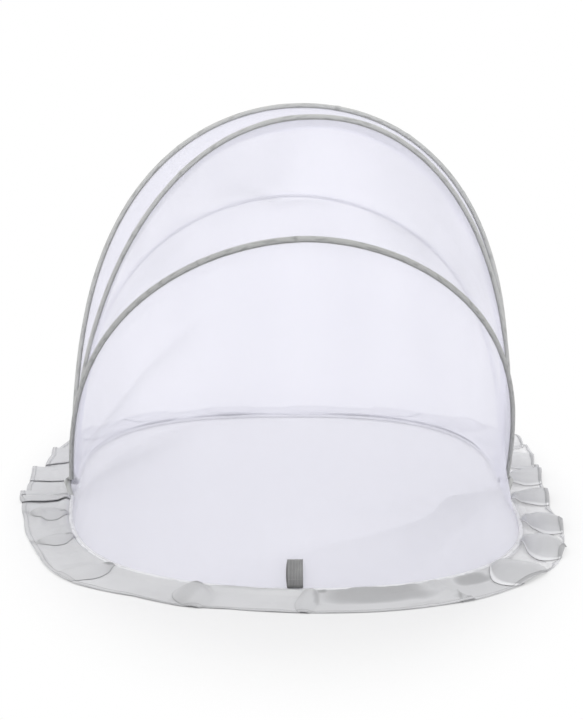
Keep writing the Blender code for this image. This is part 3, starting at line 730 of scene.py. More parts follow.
class Num:
    """A number in a material. Arithmetic on it adds Math nodes."""

    def __init__(self, shading, socket):
        self.shading = shading
        self.socket = socket

    def maths(self, operation, *values):
        """Add a Math node on values, with this number among them."""
        made = self.shading.node("ShaderNodeMath", {"operation": operation}, dict(enumerate(values)))
        return Num(self.shading, made.outputs[0])

    def __add__(self, other):
        return self.maths("ADD", self, other)

    __radd__ = __add__

    def __sub__(self, other):
        return self.maths("SUBTRACT", self, other)

    def __rsub__(self, other):
        return self.maths("SUBTRACT", other, self)

    def __mul__(self, other):
        return self.maths("MULTIPLY", self, other)

    __rmul__ = __mul__

    def sine(self):
        """The sine of this number."""
        return self.maths("SINE", self)

    def smaller(self, other):
        """The smaller of this number and another."""
        return self.maths("MINIMUM", self, other)

    def larger(self, other):
        """The larger of this number and another."""
        return self.maths("MAXIMUM", self, other)

    def above(self, low, high):
        """0 below low, 1 above high, and smooth between them."""
        settings = {"interpolation_type": "SMOOTHSTEP", "clamp": True}
        values = {"Value": self, "From Min": low, "From Max": high}
        made = self.shading.node("ShaderNodeMapRange", settings, values)
        return Num(self.shading, made.outputs["Result"])


class Shading:
    """The nodes of one material, or of the world."""

    def __init__(self, name, kind="materials"):
        self.made = getattr(bpy.data, kind).new(name)
        self.made.use_nodes = True
        self.tree = self.made.node_tree
        self.tree.nodes.clear()

    def node(self, kind, settings=None, values=None):
        """Add a node, with its settings first and then the values or links of its sockets."""
        made = self.tree.nodes.new(kind)
        for key, value in (settings or {}).items():
            setattr(made, key, value)
        for key, value in (values or {}).items():
            if isinstance(value, Num):
                self.tree.links.new(value.socket, made.inputs[key])
            elif isinstance(value, bpy.types.NodeSocket):
                self.tree.links.new(value, made.inputs[key])
            else:
                made.inputs[key].default_value = value
        return made

    def number(self, socket):
        """Wrap a socket for arithmetic."""
        return Num(self, socket)

    def value_at(self, name):
        """A value stored at the mesh's points."""
        return self.number(self.node("ShaderNodeAttribute", {"attribute_name": name}).outputs["Fac"])

    def seen_by(self, *rays):
        """1 for rays of these kinds and 0 for any other."""
        path = self.node("ShaderNodeLightPath").outputs
        first, *others = [self.number(path[ray]) for ray in rays]
        for other in others:
            first = first.larger(other)
        return first

    def cloth_places(self):
        """The two coordinates along the cloth, in metres."""
        uv = self.node("ShaderNodeUVMap", {"uv_map": "cloth"}).outputs["UV"]
        parts = self.node("ShaderNodeSeparateXYZ", None, {0: uv}).outputs
        return self.number(parts["X"]), self.number(parts["Y"])

    def place(self, stretch=(1.0, 1.0, 1.0)):
        """The place in the object's own space, stretched along each axis."""
        spot = self.node("ShaderNodeTexCoord").outputs["Object"]
        return self.node("ShaderNodeVectorMath", {"operation": "MULTIPLY"}, {0: spot, 1: stretch}).outputs[0]

    def noise(self, scale, detail=2.0, stretch=(1.0, 1.0, 1.0)):
        """Noise over the object's own space."""
        values = {"Vector": self.place(stretch), "Scale": scale, "Detail": detail}
        return self.number(self.node("ShaderNodeTexNoise", None, values).outputs["Fac"])

    def mix(self, factor, first, second):
        """A colour between two."""
        values = {"Factor": factor, 6: self.colour(first), 7: self.colour(second)}
        return self.node("ShaderNodeMix", {"data_type": "RGBA"}, values).outputs[2]

    def mottled(self, cloud, colour, low, high):
        """A colour that wanders between two tints of it."""
        return self.mix(cloud, tint(colour, low), tint(colour, high))

    def colour(self, value):
        """A colour with its alpha, or a socket as it is."""
        return value if isinstance(value, bpy.types.NodeSocket) else (*value, 1.0)

    def bump(self, height, distance):
        """A normal from a height."""
        return self.node("ShaderNodeBump", None, {"Height": height, "Distance": distance}).outputs["Normal"]

    def principled(self, colour, normal, roughness, **others):
        """The main shader. Other sockets are given by their names, with _ for each space."""
        values = {"Base Color": colour, "Roughness": roughness, "Normal": normal}
        values.update({name.replace("_", " "): value for name, value in others.items()})
        return self.node("ShaderNodeBsdfPrincipled", None, values).outputs[0]

    def blend_shaders(self, factor, first, second):
        """A share of one shader over another."""
        return self.node("ShaderNodeMixShader", None, {0: factor, 1: first, 2: second}).outputs[0]

    def sheer(self, colour, lit, through, hole):
        """Cloth that lets light through itself, and straight through its holes."""
        glow = self.node("ShaderNodeBsdfTranslucent", None, {"Color": colour}).outputs[0]
        clear = self.node("ShaderNodeBsdfTransparent").outputs[0]
        return self.finish(self.blend_shaders(hole, self.blend_shaders(through, lit, glow), clear))

    def finish(self, surface, output="ShaderNodeOutputMaterial"):
        """Connect the surface and return the material."""
        self.node(output, None, {"Surface": surface})
        return self.made


# Materials

def tint(colour, share):
    """A plain colour made darker or lighter."""
    return tuple(min(channel * share, 1.0) for channel in colour)


def net_material():
    """Fine knitted net: a honeycomb of thread that lets about half of the light straight through."""
    s = Shading("fine_net")
    u, v = s.cloth_places()
    turn = TWO_PI / NET_CELL
    half = turn / 2
    lean = turn * math.sqrt(3) / 2
    comb = (u * turn + math.pi / 2).sine() + (u * half + v * lean + math.pi / 2).sine()
    comb = comb + (u * half - v * lean + math.pi / 2).sine()
    thread = 1 - comb.above(*NET_THREAD)
    colour = s.mottled(s.noise(scale=9.0, detail=3.0), colours().net, low=0.97, high=1.0)
    # Painted shade of the net's folds darkens it with the same colour as where it lies double
    folded = s.value_at("folded") * s.value_at("double_from").above(0.0, DOUBLE_EDGE)
    folded = folded * (1 - s.value_at("double_to").above(0.0, DOUBLE_EDGE) * DOUBLE_TO_SHARE)
    doubled = (s.value_at("doubled") + folded).smaller(1.0)
    colour = s.mix(doubled, colour, colours().doubled_and_shaded_net)
    hole = (NET_OPEN - thread * THREAD_CLOSES) * (1 - doubled * DOUBLE_CLOSES)
    lit = s.principled(colour, s.bump(thread, NET_RELIEF), roughness=0.92, Sheen_Weight=0.15,
                       Specular_IOR_Level=0.2)
    return s.sheer(colour, lit, through=0.45, hole=hole)


def tape_material(name):
    """Woven bias tape in the colour of this name: a fine twill, with painted shade in its creases and
    hollows.
    """
    s = Shading(name)
    colour = getattr(colours(), name)
    u, v = s.cloth_places()
    rib = (u * (TWO_PI / TWILL_ALONG) + v * (TWO_PI / TWILL_ACROSS)).sine()
    cloud = s.noise(scale=38.0, detail=3.0)
    # Painted shade: the cloth is mixed towards a darker tint where shade falls
    base = s.mix(s.value_at("crease"), s.mottled(cloud, colour, low=0.93, high=1.05), tint(colour, 0.50))
    normal = s.bump(rib * 0.5 + cloud, TAPE_RELIEF)
    return s.finish(s.principled(base, normal, roughness=0.86, Sheen_Weight=0.2, Specular_IOR_Level=0.25))


def strip_material():
    """Thin woven cloth: grey where double, pale and sheer where single and where painted light falls."""
    s = Shading("strip_cloth")
    u, v = s.cloth_places()
    warp, weft = [(place * (TWO_PI / STRIP_WEAVE)).sine() * 0.5 for place in (u, v)]
    streak = s.noise(scale=60.0, stretch=(1.0, 1.0, 0.2))
    bare = s.value_at("bare")
    doubled = s.mottled(s.noise(scale=14.0, detail=4.0), colours().strip, low=0.95, high=1.05)
    colour = s.mix(bare, doubled, colours().bare)
    # Painted shade, towards a darker tint of the grey cloth
    colour = s.mix(s.value_at("crease"), colour, tint(colours().strip, 0.40))
    # Painted highlight along the front edges of the pale-backed lobes, in the pale colour
    colour = s.mix(s.value_at("rim"), colour, colours().bare)
    normal = s.bump(warp + weft + streak * 1.5, STRIP_RELIEF)
    lit = s.principled(colour, normal, roughness=0.8, Sheen_Weight=0.25, Specular_IOR_Level=0.3)
    through, hole = [bare * more + least for least, more in (STRIP_GLOW, STRIP_HOLES)]
    return s.sheer(colour, lit, through, hole)


def thread_material():
    """Twisted sewing thread."""
    s = Shading("sewing_thread")
    cloud = s.noise(scale=900.0, detail=1.0)
    base = s.mottled(cloud, colours().thread, low=0.8, high=1.15)
    return s.finish(s.principled(base, s.bump(cloud, THREAD_RELIEF), roughness=0.7))


def webbing_material():
    """Ribbed webbing: close ribs along it, and picks across it, with painted shade in the grooves and at its
    foot.
    """
    s = Shading("ribbed_webbing")
    u, v = s.cloth_places()
    picks = (u * (TWO_PI / WEBBING_PICK)).sine()
    ribs = (v * (TWO_PI / TAB_RIB)).sine()
    base = s.mottled(s.noise(scale=120.0, detail=3.0), colours().webbing, low=0.82, high=1.2)
    # Painted shade in the grooves between the ribs
    base = s.mix(ribs.above(-1.0, -0.3), tint(colours().webbing, 0.6), base)
    # Painted shade at the foot of the tab
    base = s.mix(s.value_at("crease"), base, tint(colours().webbing, 0.3))
    normal = s.bump(ribs + picks * 0.5, WEBBING_RELIEF)
    return s.finish(s.principled(base, normal, roughness=0.75, Sheen_Weight=0.3, Specular_IOR_Level=0.3))


def steel_material(name, colour, roughness):
    """Drawn or plated steel, about this rough, with fine scratches."""
    s = Shading(name)
    scratch = s.noise(scale=260.0, detail=3.0, stretch=(1.0, 0.1, 1.0))
    base = s.mottled(s.noise(scale=45.0), colour, low=0.9, high=1.05)
    rough = scratch * 0.15 + (roughness - 0.07)
    return s.finish(s.principled(base, s.bump(scratch, STEEL_RELIEF), rough, Metallic=1.0))


def moulding_material():
    """Dark moulded plastic with a fine spark-eroded grain."""
    s = Shading("dark_moulding")
    grain = s.noise(scale=1400.0)
    base = s.mix(s.noise(scale=60.0), *DARK_MOULDING)
    return s.finish(s.principled(base, s.bump(grain, MOULDING_RELIEF), roughness=grain * 0.14 + 0.43))


# Tapes

def seam_line(index, distances):
    """Points of the line on the inner side of a hoop's tape where the net is sewn on."""
    points = rod_line(index, distances)
    outward = hoop_sides(index, points)[0]
    opening = smoothstep(nearer_end(distances, hoop_length(index)) / NECK_LENGTH)
    return points - outward * (sizes().sleeve_radius * SEAM_INWARD * opening)[:, None]


def tape_stations(total):
    """Distances along a tape, closer together where it thins towards the rivets."""
    start = sizes().sleeve_start
    return np.concatenate((np.linspace(start, TAPE_END, TAPE_END_STATIONS)[:-1],
                           np.linspace(TAPE_END, total - TAPE_END, TAPE_STATIONS),
                           np.linspace(total - TAPE_END, total - start, TAPE_END_STATIONS)[1:]))


def net_angles(index, distances, points, outward, front):
    """For each net sewn to a tape, the angle round the tape at which it leaves, at every point."""
    angles = []
    for neighbour in (index - 1, index + 1):
        if 0 <= neighbour < len(HOOPS):
            span = rod_line(neighbour, distances * hoop_length(neighbour) / hoop_length(index)) - points
            angles.append(np.arctan2((span * front).sum(axis=1), (span * outward).sum(axis=1)))
    return angles


def pucker_marks(index, distances):
    """How strongly each place along a tape has a pucker, and the painted shade in the fold beside it."""
    swell = np.zeros(len(distances))
    crease = np.zeros(len(distances))
    for spot in TAPES[index].puckers:
        swell += np.exp(-((distances - spot) / PUCKER_LENGTH) ** 2)
        crease += np.exp(-((distances - spot - PUCKER_LENGTH) / (PUCKER_LENGTH * PUCKER_CREASE_SHARE)) ** 2)
    return swell, np.clip(crease, 0, 1)


def make_sleeve(index, material, thread):
    """The tape sewn round a hoop's rod: a soft tube with puckers, its sewn lips and their stitches."""
    name = HOOPS[index].name
    tape = TAPES[index]
    total = hoop_length(index)
    distances = tape_stations(total)
    points = rod_line(index, distances)
    outward, front = hoop_sides(index, points)
    from_pivot = nearer_end(distances, total)
    radius = sizes().sleeve_radius
    flat = TAPE_THIN + (radius - TAPE_THIN) * eased(from_pivot, TAPE_THICKENS)
    around = np.linspace(0, TWO_PI, TAPE_ROUND)
    pucker = wrinkles_round(TAPE_PUCKERS, distances, around, index)
    slow = wrinkles_round(TAPE_WAVES, distances, around, -index)
    lump, mark = pucker_marks(index, distances)
    swell = 1 + pucker * TAPE_PUCKERS.depth + slow * TAPE_WAVES.depth + lump[:, None] * PUCKER_SWELL
    wide = np.full(len(distances), radius)
    places = tube_places(points, outward, front, wide, flat, around, swell[:, :, None])
    # Painted shade: in pucker hollows, beside each pucker, along the inner side, and all over on two tapes
    away = INNER_AT_RIVET + (1 - INNER_AT_RIVET) * eased(from_pivot, INNER_AWAY)
    inner_side = eased(-np.cos(around), INNER_SIDE) * tape.inner_shade * away[:, None]
    crease = hollow_shade(pucker, TAPE_HOLLOWS) + mark[:, None] * PUCKER_SHADE + inner_side + tape.shade
    sleeve = grid_object("tape_" + name, places, material, {"crease": np.clip(crease, 0, 1)}, True)
    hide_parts(name + "_sleeve")
    carried(BODIES[index], "sleeve", sleeve)
    seams = []
    for number, angles in enumerate(net_angles(index, distances, points, outward, front)):
        lip = unit(outward * np.cos(angles)[:, None] + front * np.sin(angles)[:, None])
        up = unit(np.cross(lip, np.gradient(points, axis=0)))
        up *= np.sign((up * outward).sum(axis=1))[:, None]
        seams.append(make_lip(index, number, distances, lip, up, material))
    carried(BODIES[index], "sleeve", stitch_row("tape_stitches_" + name, seams, thread))


def make_lip(index, number, distances, lip, up, material):
    """The narrow sewn edge of a tape on one panel of net. It gives back the line of its stitches."""
    radius = sizes().sleeve_radius
    seam = seam_line(index, distances)
    inner = seam + lip * (radius * LIP_INNER_SHARE) + up * LIP_INNER_HEIGHT
    wave = wrinkles_over(LIP_WAVES, distances, shift=number + 3.0, seed=index) * LIP_WAVES.depth
    width = radius * LIP_OUTER_SHARE + sizes().sleeve_lip + wave
    outer = seam + lip * width[:, None] + up * LIP_OUTER_HEIGHT
    middle = (inner + outer) / 2
    keep = nearer_end(distances, hoop_length(index)) > LIP_START
    band = np.stack([inner, middle + up * LIP_CROWN, outer, outer - up * LIP_UNDER], axis=1)[keep]
    # The lips are painted dark as the shade where the net meets the tape
    shade = np.broadcast_to(np.array(LIP_SHADES) * TAPES[index].inner_shade * LIP_DARKER, band.shape[:2])
    piece = grid_object(f"tape_lip_{HOOPS[index].name}_{number}", band, material, {"crease": shade})
    carried(BODIES[index], "sleeve", piece)
    return (middle + up * LIP_THREAD)[keep], up[keep]


def make_wrap(side, material):
    """The grey tape that the front base tape ends in, from beside the rivet down to the floor."""
    total = hoop_length(FRONT)
    from_pivot = np.linspace(WRAP_START, WRAP_LENGTH, WRAP_STATIONS)
    points = rod_line(FRONT, from_pivot if side > 0 else total - from_pivot)
    across = np.broadcast_to(np.array([1.0, 0.0, 0.0]), points.shape)
    front = unit(np.cross(np.gradient(points, axis=0), across))
    share = from_pivot / WRAP_LENGTH
    around = np.linspace(0, TWO_PI, WRAP_ROUND)
    pucker = wrinkles_round(WRAP_PUCKERS, from_pivot, around, side)
    swell = 1 + pucker * WRAP_PUCKERS.depth
    places = tube_places(points, across, front, read_off(share, WRAP_WIDE), read_off(share, WRAP_FLAT),
                         around, swell[:, :, None])
    # Painted shade in the hollows of its puckers, and darker towards its foot
    crease = hollow_shade(pucker, WRAP_HOLLOWS) + eased(share, WRAP_DARK_FOOT)[:, None]
    wrap = grid_object("tape_wrap_" + ("right" if side > 0 else "left"), places, material,
                       {"crease": np.clip(crease, 0, 1)}, True)
    carried("front_base", "sleeve", wrap)


def make_painted_shadow_line(material):
    """A painted shadow along the rear base tape: a thin dark line of uneven thickness, where the seam is in
    shade.
    """
    distances = np.linspace(PAINTED_SHADOW_START, hoop_length(REAR) - PAINTED_SHADOW_START, PAINTED_SHADOW_STATIONS)
    points = rod_line(REAR, distances)
    outward = hoop_sides(REAR, points)[0]
    up = np.array([0.0, 0.0, 1.0])
    radius = sizes().sleeve_radius
    wave = wrinkles_over(PAINTED_SHADOW_WAVES, distances, shift=2.0, seed=7.0) * PAINTED_SHADOW_WAVES.depth
    points = points - outward * (radius * PAINTED_SHADOW_INWARD) + up * (radius * PAINTED_SHADOW_ABOVE + wave[:, None])
    lumps = 1 + wrinkles_over(PAINTED_SHADOW_LUMPS, distances, shift=1.0, seed=3.0) * PAINTED_SHADOW_LUMPS.depth
    thick = np.maximum(read_off(distances, PAINTED_SHADOW_LINE) * lumps, PAINTED_SHADOW_THINNEST)
    places = tube_places(points, outward, np.broadcast_to(up, points.shape), thick, thick,
                         np.linspace(0, TWO_PI, PAINTED_SHADOW_ROUND))
    piece = grid_object("gathered_net_edge", places, material, {"crease": np.zeros(places.shape[:2])}, True)
    carried("root", "net", piece)
    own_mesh(piece)


# Net panels

def panel_shares():
    """The columns of a panel as shares of the way round, closer together beside the rivets."""
    shares = np.linspace(0, 1, NET_COLUMNS + 1)
    return shares - np.sin(TWO_PI * shares) / TWO_PI * NET_CROWDING


def panel_places(index):
    """Points of the net from a hoop to the next one to the front, its double edge and its painted fold shade.
    """
    panel = PANELS[index]
    shares = panel_shares()
    rear, front = [seam_line(hoop, NET_START + shares * (hoop_length(hoop) - 2 * NET_START))
                   for hoop in (index, index + 1)]
    span = front - rear
    width = np.linalg.norm(span, axis=1, keepdims=True)
    inset = np.minimum(sizes().sleeve_radius * NET_INSET, width * NET_INSET_MOST)
    rear, front = rear + span / width * inset, front - span / width * inset
    rows = np.linspace(0, 1, NET_ROWS + 1)
    places = rear[:, None, :] + (front - rear)[:, None, :] * rows[None, :, None]
    inward = unit(np.array(PIVOT) - places)
    arc = shares[:, None] * hoop_length(index)
    from_pivot = nearer_end(shares, 1)[:, None] * hoop_length(index)
    edge = nearer_end(rows, 1) * width
    corner = 1 - smoothstep(from_pivot / CORNER_LENGTH) if index == len(PANELS) - 1 else 0.0
    belly = np.sin(math.pi * rows) ** BELLY_POWER
    pull = panel.pull_share * width * belly * (1 + CORNER_PULL * corner)
    long_folds = wrinkles_over(LONG_FOLDS, arc, rows, seed=index * 7.3)
    short_folds = wrinkles_over(SHORT_FOLDS, arc, rows, shift=4, seed=index * 3.1)
    puckers = wrinkles_over(EDGE_PUCKERS, arc, rows, seed=index + 11.0) * np.exp(-edge / EDGE_PUCKER_REACH)
    # Folds of tension run out from the two rivets
    tension = wrinkles_over(TENSION_FOLDS, rows, shares[:, None], seed=index * 2.7)
    tension = tension * np.exp(-from_pivot / TENSION_REACH)
    wrinkle = sizes().wrinkle * panel.wrinkle_share * (
        long_folds * LONG_FOLDS.depth + short_folds * SHORT_FOLDS.depth + puckers * EDGE_PUCKERS.depth
        + tension * TENSION_FOLDS.depth)
    wrinkle = wrinkle * smoothstep(edge / SMOOTH_EDGE)
    # The net is doubled along the tape of the hoop behind it
    allowance = SEAM_ALLOWANCE * (wrinkles_over(SEAM_RAGGED, arc, seed=index + 21.0) * SEAM_RAGGED.depth + 1)
    doubled = (1 - eased(rows * width / allowance, SEAM_EDGE)) * panel.doubled
    # The painted shade of the folds is added to the seam allowance that lies double
    doubled = doubled + painted_fold_shade(index, arc, shares, rows, tension)
    return places + inward * (pull + wrinkle)[:, :, None], rows, np.clip(doubled, 0, 1)


def painted_fold_shade(index, arc, shares, rows, tension):
    """The painted shade of a panel's folds: soft ones all over it, and long ones along lines."""
    soft = [wrinkles_over(folds, arc, rows, seed=seed)
            for folds, seed in zip(SOFT_FOLD_SHADES, (index * 5.1, index + 2.0))]
    dark = PANELS[index].folds * np.clip(SOFT_BASE + sum(soft) * SOFT_STRENGTH + tension * SOFT_TENSION, 0, 1)
    for panel, strength, fade, line in PAINTED_FOLD_SHADES:
        if panel == index:
            past = past_line(shares, rows, line)
            begun = smoothstep((shares - line[0][0]) / FOLD_END)
            ends = begun * smoothstep((line[-1][0] - shares) / FOLD_END)
            dark = dark + strength * ends[:, None] * smoothstep(past / FOLD_EDGE) * faded(past, fade)
    return dark


def past_line(shares, rows, line):
    """How far each point of a panel lies past a line, as a share of the panel's width."""
    return rows - read_off(shares, line)[:, None]


def faded(past, reach):
    """What is left of a shade that dies away past a line."""
    return np.exp(-np.maximum(past, 0) / reach)


def make_panel(index, material):
    """One panel of net between two hoops."""
    places, rows, doubled = panel_places(index)
    name = PANELS[index].name
    values = {"fan": np.broadcast_to(rows, places.shape[:2]), "doubled": doubled}
    if index == len(PANELS) - 1:
        shares = panel_shares()
        past = past_line(shares, rows, DOUBLE_FROM)
        strength = read_off(shares, DOUBLE_STRENGTH)[:, None] * faded(past, DOUBLE_FADE)
        values.update(double_from=past, double_to=past_line(shares, rows, DOUBLE_TO), folded=strength)
    panel = grid_object("stretched_" + name, places, material, values)
    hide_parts(name)
    fan_blend(panel)
    width = max(np.linalg.norm(places[:, 0] - places[:, -1], axis=1))


def fan_blend(piece):
    """Work out each point's even share of the way from the rear hoop, 0, to the front one, 1, then put it
    back.
    """
    shares = np.array([item.value for item in piece.data.attributes["fan"].data])
    places = [vert.co.copy() for vert in piece.data.vertices]
    even = 0.5 - np.sin(np.arcsin(1 - 2 * np.clip(shares, 0, 1)) / 3)
    for vert, value in zip(piece.data.vertices, even):
        vert.co = (value, 0, 0)
    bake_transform(piece)
    for vert, place in zip(piece.data.vertices, places):
        vert.co = place


# Foot strips

def over_rows(values, rows):
    """The smooth curve through three values: at the seam, midway out and at the hem."""
    seam, mid, hem = values
    return seam * (1 - rows) * (1 - 2 * rows) + mid * 4 * rows * (1 - rows) + hem * rows * (2 * rows - 1)


def strip_tables(folds, total, rows):
    """The strip's columns in the order of the cloth.

    They are their places, heights, steps at the hem and paleness, which holds painted light and shade, and
    whether they are on a pale-backed lobe and on its front edge, which has a painted highlight.
    """
    columns = [(np.zeros(len(rows)), np.zeros(len(rows)), folds[0].steps[0], folds[0].pale[1], 0.0, 0.0)]
    for fold in folds:
        section = SECTIONS[fold.kind][::fold.facing]
        middle = fold.seam + (fold.hem - fold.seam) * rows
        width = over_rows(fold.widths, rows)
        # Where the width falls past nothing the fold has opened out flat
        shut = smoothstep((width + OPENING) / (2 * OPENING))
        width = np.maximum(width, 0.0)
        high = np.maximum(over_rows(fold.rises, rows), 0.0) * shut
        stacked = sizes().layer * smoothstep(width / LAYER_WIDTH) * shut
        spread = max(fold.widths) / 2
        begun = False
        for number, (share, rise, lift, part) in enumerate(section):
            beside = part == 1
            begun = begun or not beside
            even = section[0][0] + (section[-1][0] - section[0][0]) * number / (len(section) - 1)
            place = middle + fold.facing * (share * width * shut + even * spread * (1 - shut))
            if not beside:
                step, pale = np.interp(fold.facing * share, (-0.5, 0.5), fold.steps), fold.pale[0]
            elif begun:
                step, pale = fold.steps[1], fold.pale[1]
            else:
                step, pale = columns[-1][2:4]
            lobe = fold.pale[1] > PALE_RIM_FROM
            columns.append((place, high * rise + stacked * lift, step, pale, float(lobe and not beside),
                            float(lobe and part == 2)))
    step, pale = columns[-1][2:4]
    columns.append((np.full(len(rows), total), np.zeros(len(rows)), step, pale, 0.0, 0.0))
    return [np.array(table, float) for table in zip(*columns)]


def refine(tables):
    """Add columns between those that stand far apart."""
    gaps = np.abs(np.diff(tables[0], axis=0)).max(axis=1)
    at_hem = tables[0][:-1, -1]
    pinched = (at_hem > HEM_PINCH[0][0] - PINCH_MARGIN) & (at_hem < HEM_PINCH[2][0] + PINCH_MARGIN)
    counts = np.maximum((gaps / np.where(pinched, PINCH_COLUMN, STRIP_COLUMN)).astype(int), 1)
    spots = [before + np.arange(count) / count for before, count in enumerate(counts)]
    spots = np.concatenate(spots + [[len(counts)]])
    fine = []
    for table in tables:
        flat = table.reshape(len(table), -1)
        lines = [np.interp(spots, np.arange(len(flat)), line) for line in flat.T]
        fine.append(np.stack(lines, axis=1).reshape((len(spots),) + table.shape[1:]))
    return fine


def near_line(place, out, points, width):
    """How close each spot of the cloth is to a line of (place along the seam, reach), from 1 on it to 0."""
    nearest = np.full(place.shape, np.inf)
    for (p1, r1), (p2, r2) in zip(points, points[1:]):
        step = np.array([p2 - p1, r2 - r1])
        share = ((place - p1) * step[0] + (out - r1) * step[1]) / (step @ step)
        share = np.clip(share, 0, 1)
        nearest = np.minimum(nearest, np.hypot(place - p1 - share * step[0], out - r1 - share * step[1]))
    return np.exp(-(nearest / width) ** 2)


def strip_plan(index, place, from_pivot):
    """The seam line's points (across, along) at places along it, and the unit directions out from it."""
    across, along, arc = dense_outline(HOOPS[index])
    slope_x, slope_y = np.gradient(along, arc), -np.gradient(across, arc)
    sides = np.stack([np.interp(place, arc, slope_x),
                      np.interp(place, arc, slope_y) * smoothstep(from_pivot / SIDE_TURN)], axis=2)
    return np.stack([np.interp(place, arc, across), np.interp(place, arc, along)], axis=2), unit(sides)


def strip_places(index, folds, reach_table, shadows, creases):
    """Points of a pleated strip, seam to hem, its paleness with painted light and shade, its lobes and
    painted highlights.
    """
    facing = 1 if index == REAR else -1
    total = hoop_length(index)
    rows = np.linspace(0, 1, STRIP_ROWS + 1)
    place, height, step, pale, lobe, rim = refine(strip_tables(folds, total, rows))
    place = np.clip(place, STRIP_END, total - STRIP_END)
    from_pivot = nearer_end(place, total)
    height *= smoothstep(from_pivot / FOLD_START)
    middle, sides = strip_plan(index, place, from_pivot)
    reach = read_off(place[:, -1], reach_table) + step
    reach += wrinkles_over(HEM_WAVES, place[:, -1], seed=5.0 + index) * HEM_WAVES.depth
    offset = STRIP_INNER + (reach[:, None] - STRIP_INNER) * rows
    plan = middle + sides * offset[:, :, None]
    low_at_pivot = eased(from_pivot, STRIP_RISES)
    base = read_off(rows, STRIP_PROFILE) * (LOW_SHARE + (1 - LOW_SHARE) * low_at_pivot)
    slow = wrinkles_over(STRIP_WAVES, place, rows, seed=2.0 + index)
    quick = wrinkles_over(STRIP_RIPPLES, place, rows, seed=9.0 + index)
    loose = smoothstep(rows / LOOSE_FROM) * (1 - HEM_CALM * rows ** HEM_CALM_POWER)
    loose = loose * smoothstep(from_pivot / LOOSE_START)
    ripples = (np.maximum(slow, 0) * STRIP_WAVES.depth + quick * STRIP_RIPPLES.depth) * loose
    gathers = wrinkles_over(STRIP_GATHERS, place, rows, seed=4.0 + index) * STRIP_GATHERS.depth
    gathers = gathers * np.exp(-rows / GATHERS_FADE)
    for line in creases:
        ripples = ripples + CREASE_HEIGHT * near_line(place, offset, line, CREASE_WIDTH)
    z = np.maximum(base + height + ripples + gathers * low_at_pivot, STRIP_LOWEST)
    places = np.stack([PIVOT.x + plan[:, :, 0], PIVOT.y + facing * plan[:, :, 1], z], axis=2)
    shade = np.repeat(pale[:, None], len(rows), axis=1)
    # Painted shadows: each darkens the cloth within its soft outline
    for spot, out, half_length, half_width, strength in shadows:
        off = (np.abs((place - spot) / half_length) ** SHADOW_POWER
               + np.abs((offset - out) / half_width) ** SHADOW_POWER)
        mask = strength * (1 - eased(off, SHADOW_EDGE))
        shade = shade * (1 - mask) - mask
    # The V of the pinched hem, painted dark as shade
    if index == FRONT:
        shade = shade - PINCH_SHADE * near_line(place, offset, HEM_PINCH, PINCH_WIDTH)
    return places, shade, lobe, rim


def with_hem(places, pale, lobe):
    """Turn the hem over onto the cloth: the last rows go round the edge and back."""
    normal = grid_normals(places)[:, -1]
    normal = normal * np.sign(np.median(normal[:, 2]))
    normal[:, 2] = np.maximum(normal[:, 2], HEM_UPRIGHT)
    normal = unit(normal)
    inward = unit(places[:, -2] - places[:, -1])
    width = sizes().hem_width
    edge = places[:, -1]
    rolled = [edge + inward * (HEM_GAP * by_gap + width * by_width) + normal * (HEM_GAP * up)
              for by_gap, by_width, up in HEM_ROLL]
    full = np.concatenate((places, np.stack(rolled, axis=1)), axis=1)
    full[:, :, 2] = np.maximum(full[:, :, 2], HEM_LOWEST)
    # Plies painted darker, partly for lying double and partly as shade; the first rows have a painted
    # highlight
    doubled = pale[:, -1:] * HEM_SHEER - HEM_SHADE * (1 + lobe[:, None] * HEM_LOBE)
    rim = np.full_like(doubled, HEM_HIGHLIGHT)
    shade = np.concatenate([pale] + [rim] * HEM_HIGHLIGHT_ROWS + [doubled] * (len(HEM_ROLL) - HEM_HIGHLIGHT_ROWS), axis=1)
    stitches = edge + inward * (width - HEM_STITCH_IN) + normal * (HEM_GAP * HEM_STITCH_GAPS)
    return full, shade, stitches, normal


def make_strip(name, index, folds, reach_table, shadows, creases, material, thread):
    """The pleated strip round the foot of a base hoop, with its turned and stitched hem."""
    places, pale, lobe, rim = strip_places(index, folds, reach_table, shadows, creases)
    full, shade, hem_line, outs = with_hem(places, pale, lobe)
    # Its paleness, partly painted light; its painted shade; and its painted highlights
    strip = grid_object("pleated_" + name, full, material,
                        {"bare": np.clip(shade, 0, 1), "crease": np.clip(-shade, 0, 1),
                         "rim": np.broadcast_to(rim[:, None], shade.shape)})
    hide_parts(name)
    stitches = stitch_row("hem_stitches_" + name, [(hem_line, outs)], thread)
    carried(BODIES[index], "strip", strip, stitches)
    if index == FRONT:
        for piece in (strip, stitches):
            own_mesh(piece)


# Pull tab

def tab_outline(length):
    """The tab's loop: its points (off the net, up it), and how far sideways each is askew."""
    share = np.linspace(0, 1, TAB_STATIONS)
    rise = share * (length - TAB_HEAD)
    # The front ply bows out a little, and the back ply lies against the net
    front = np.stack([TAB_CLEAR + 2 * TAB_HALF_GAP + TAB_BOW * np.sin(math.pi * share), rise], axis=1)
    turns = np.linspace(0, math.pi, TAB_TURN_STATIONS)[1:-1]
    head = np.stack([TAB_CLEAR + TAB_HALF_GAP + TAB_HALF_GAP * np.cos(turns),
                     length - TAB_HEAD + TAB_HEAD * np.sin(turns)], axis=1)
    back = np.stack([np.full(len(share), TAB_CLEAR), rise[::-1]], axis=1)
    # The back ply is sewn on a little askew, so that its edge shows beside the front one
    askew = np.concatenate((np.zeros(len(front)), np.linspace(0, -TAB_ASKEW, len(head)),
                            -TAB_ASKEW - TAB_ASKEW_BOW * np.sin(math.pi * share[::-1]) ** TAB_ASKEW_POWER))
    return front, np.concatenate((front, head, back)), askew


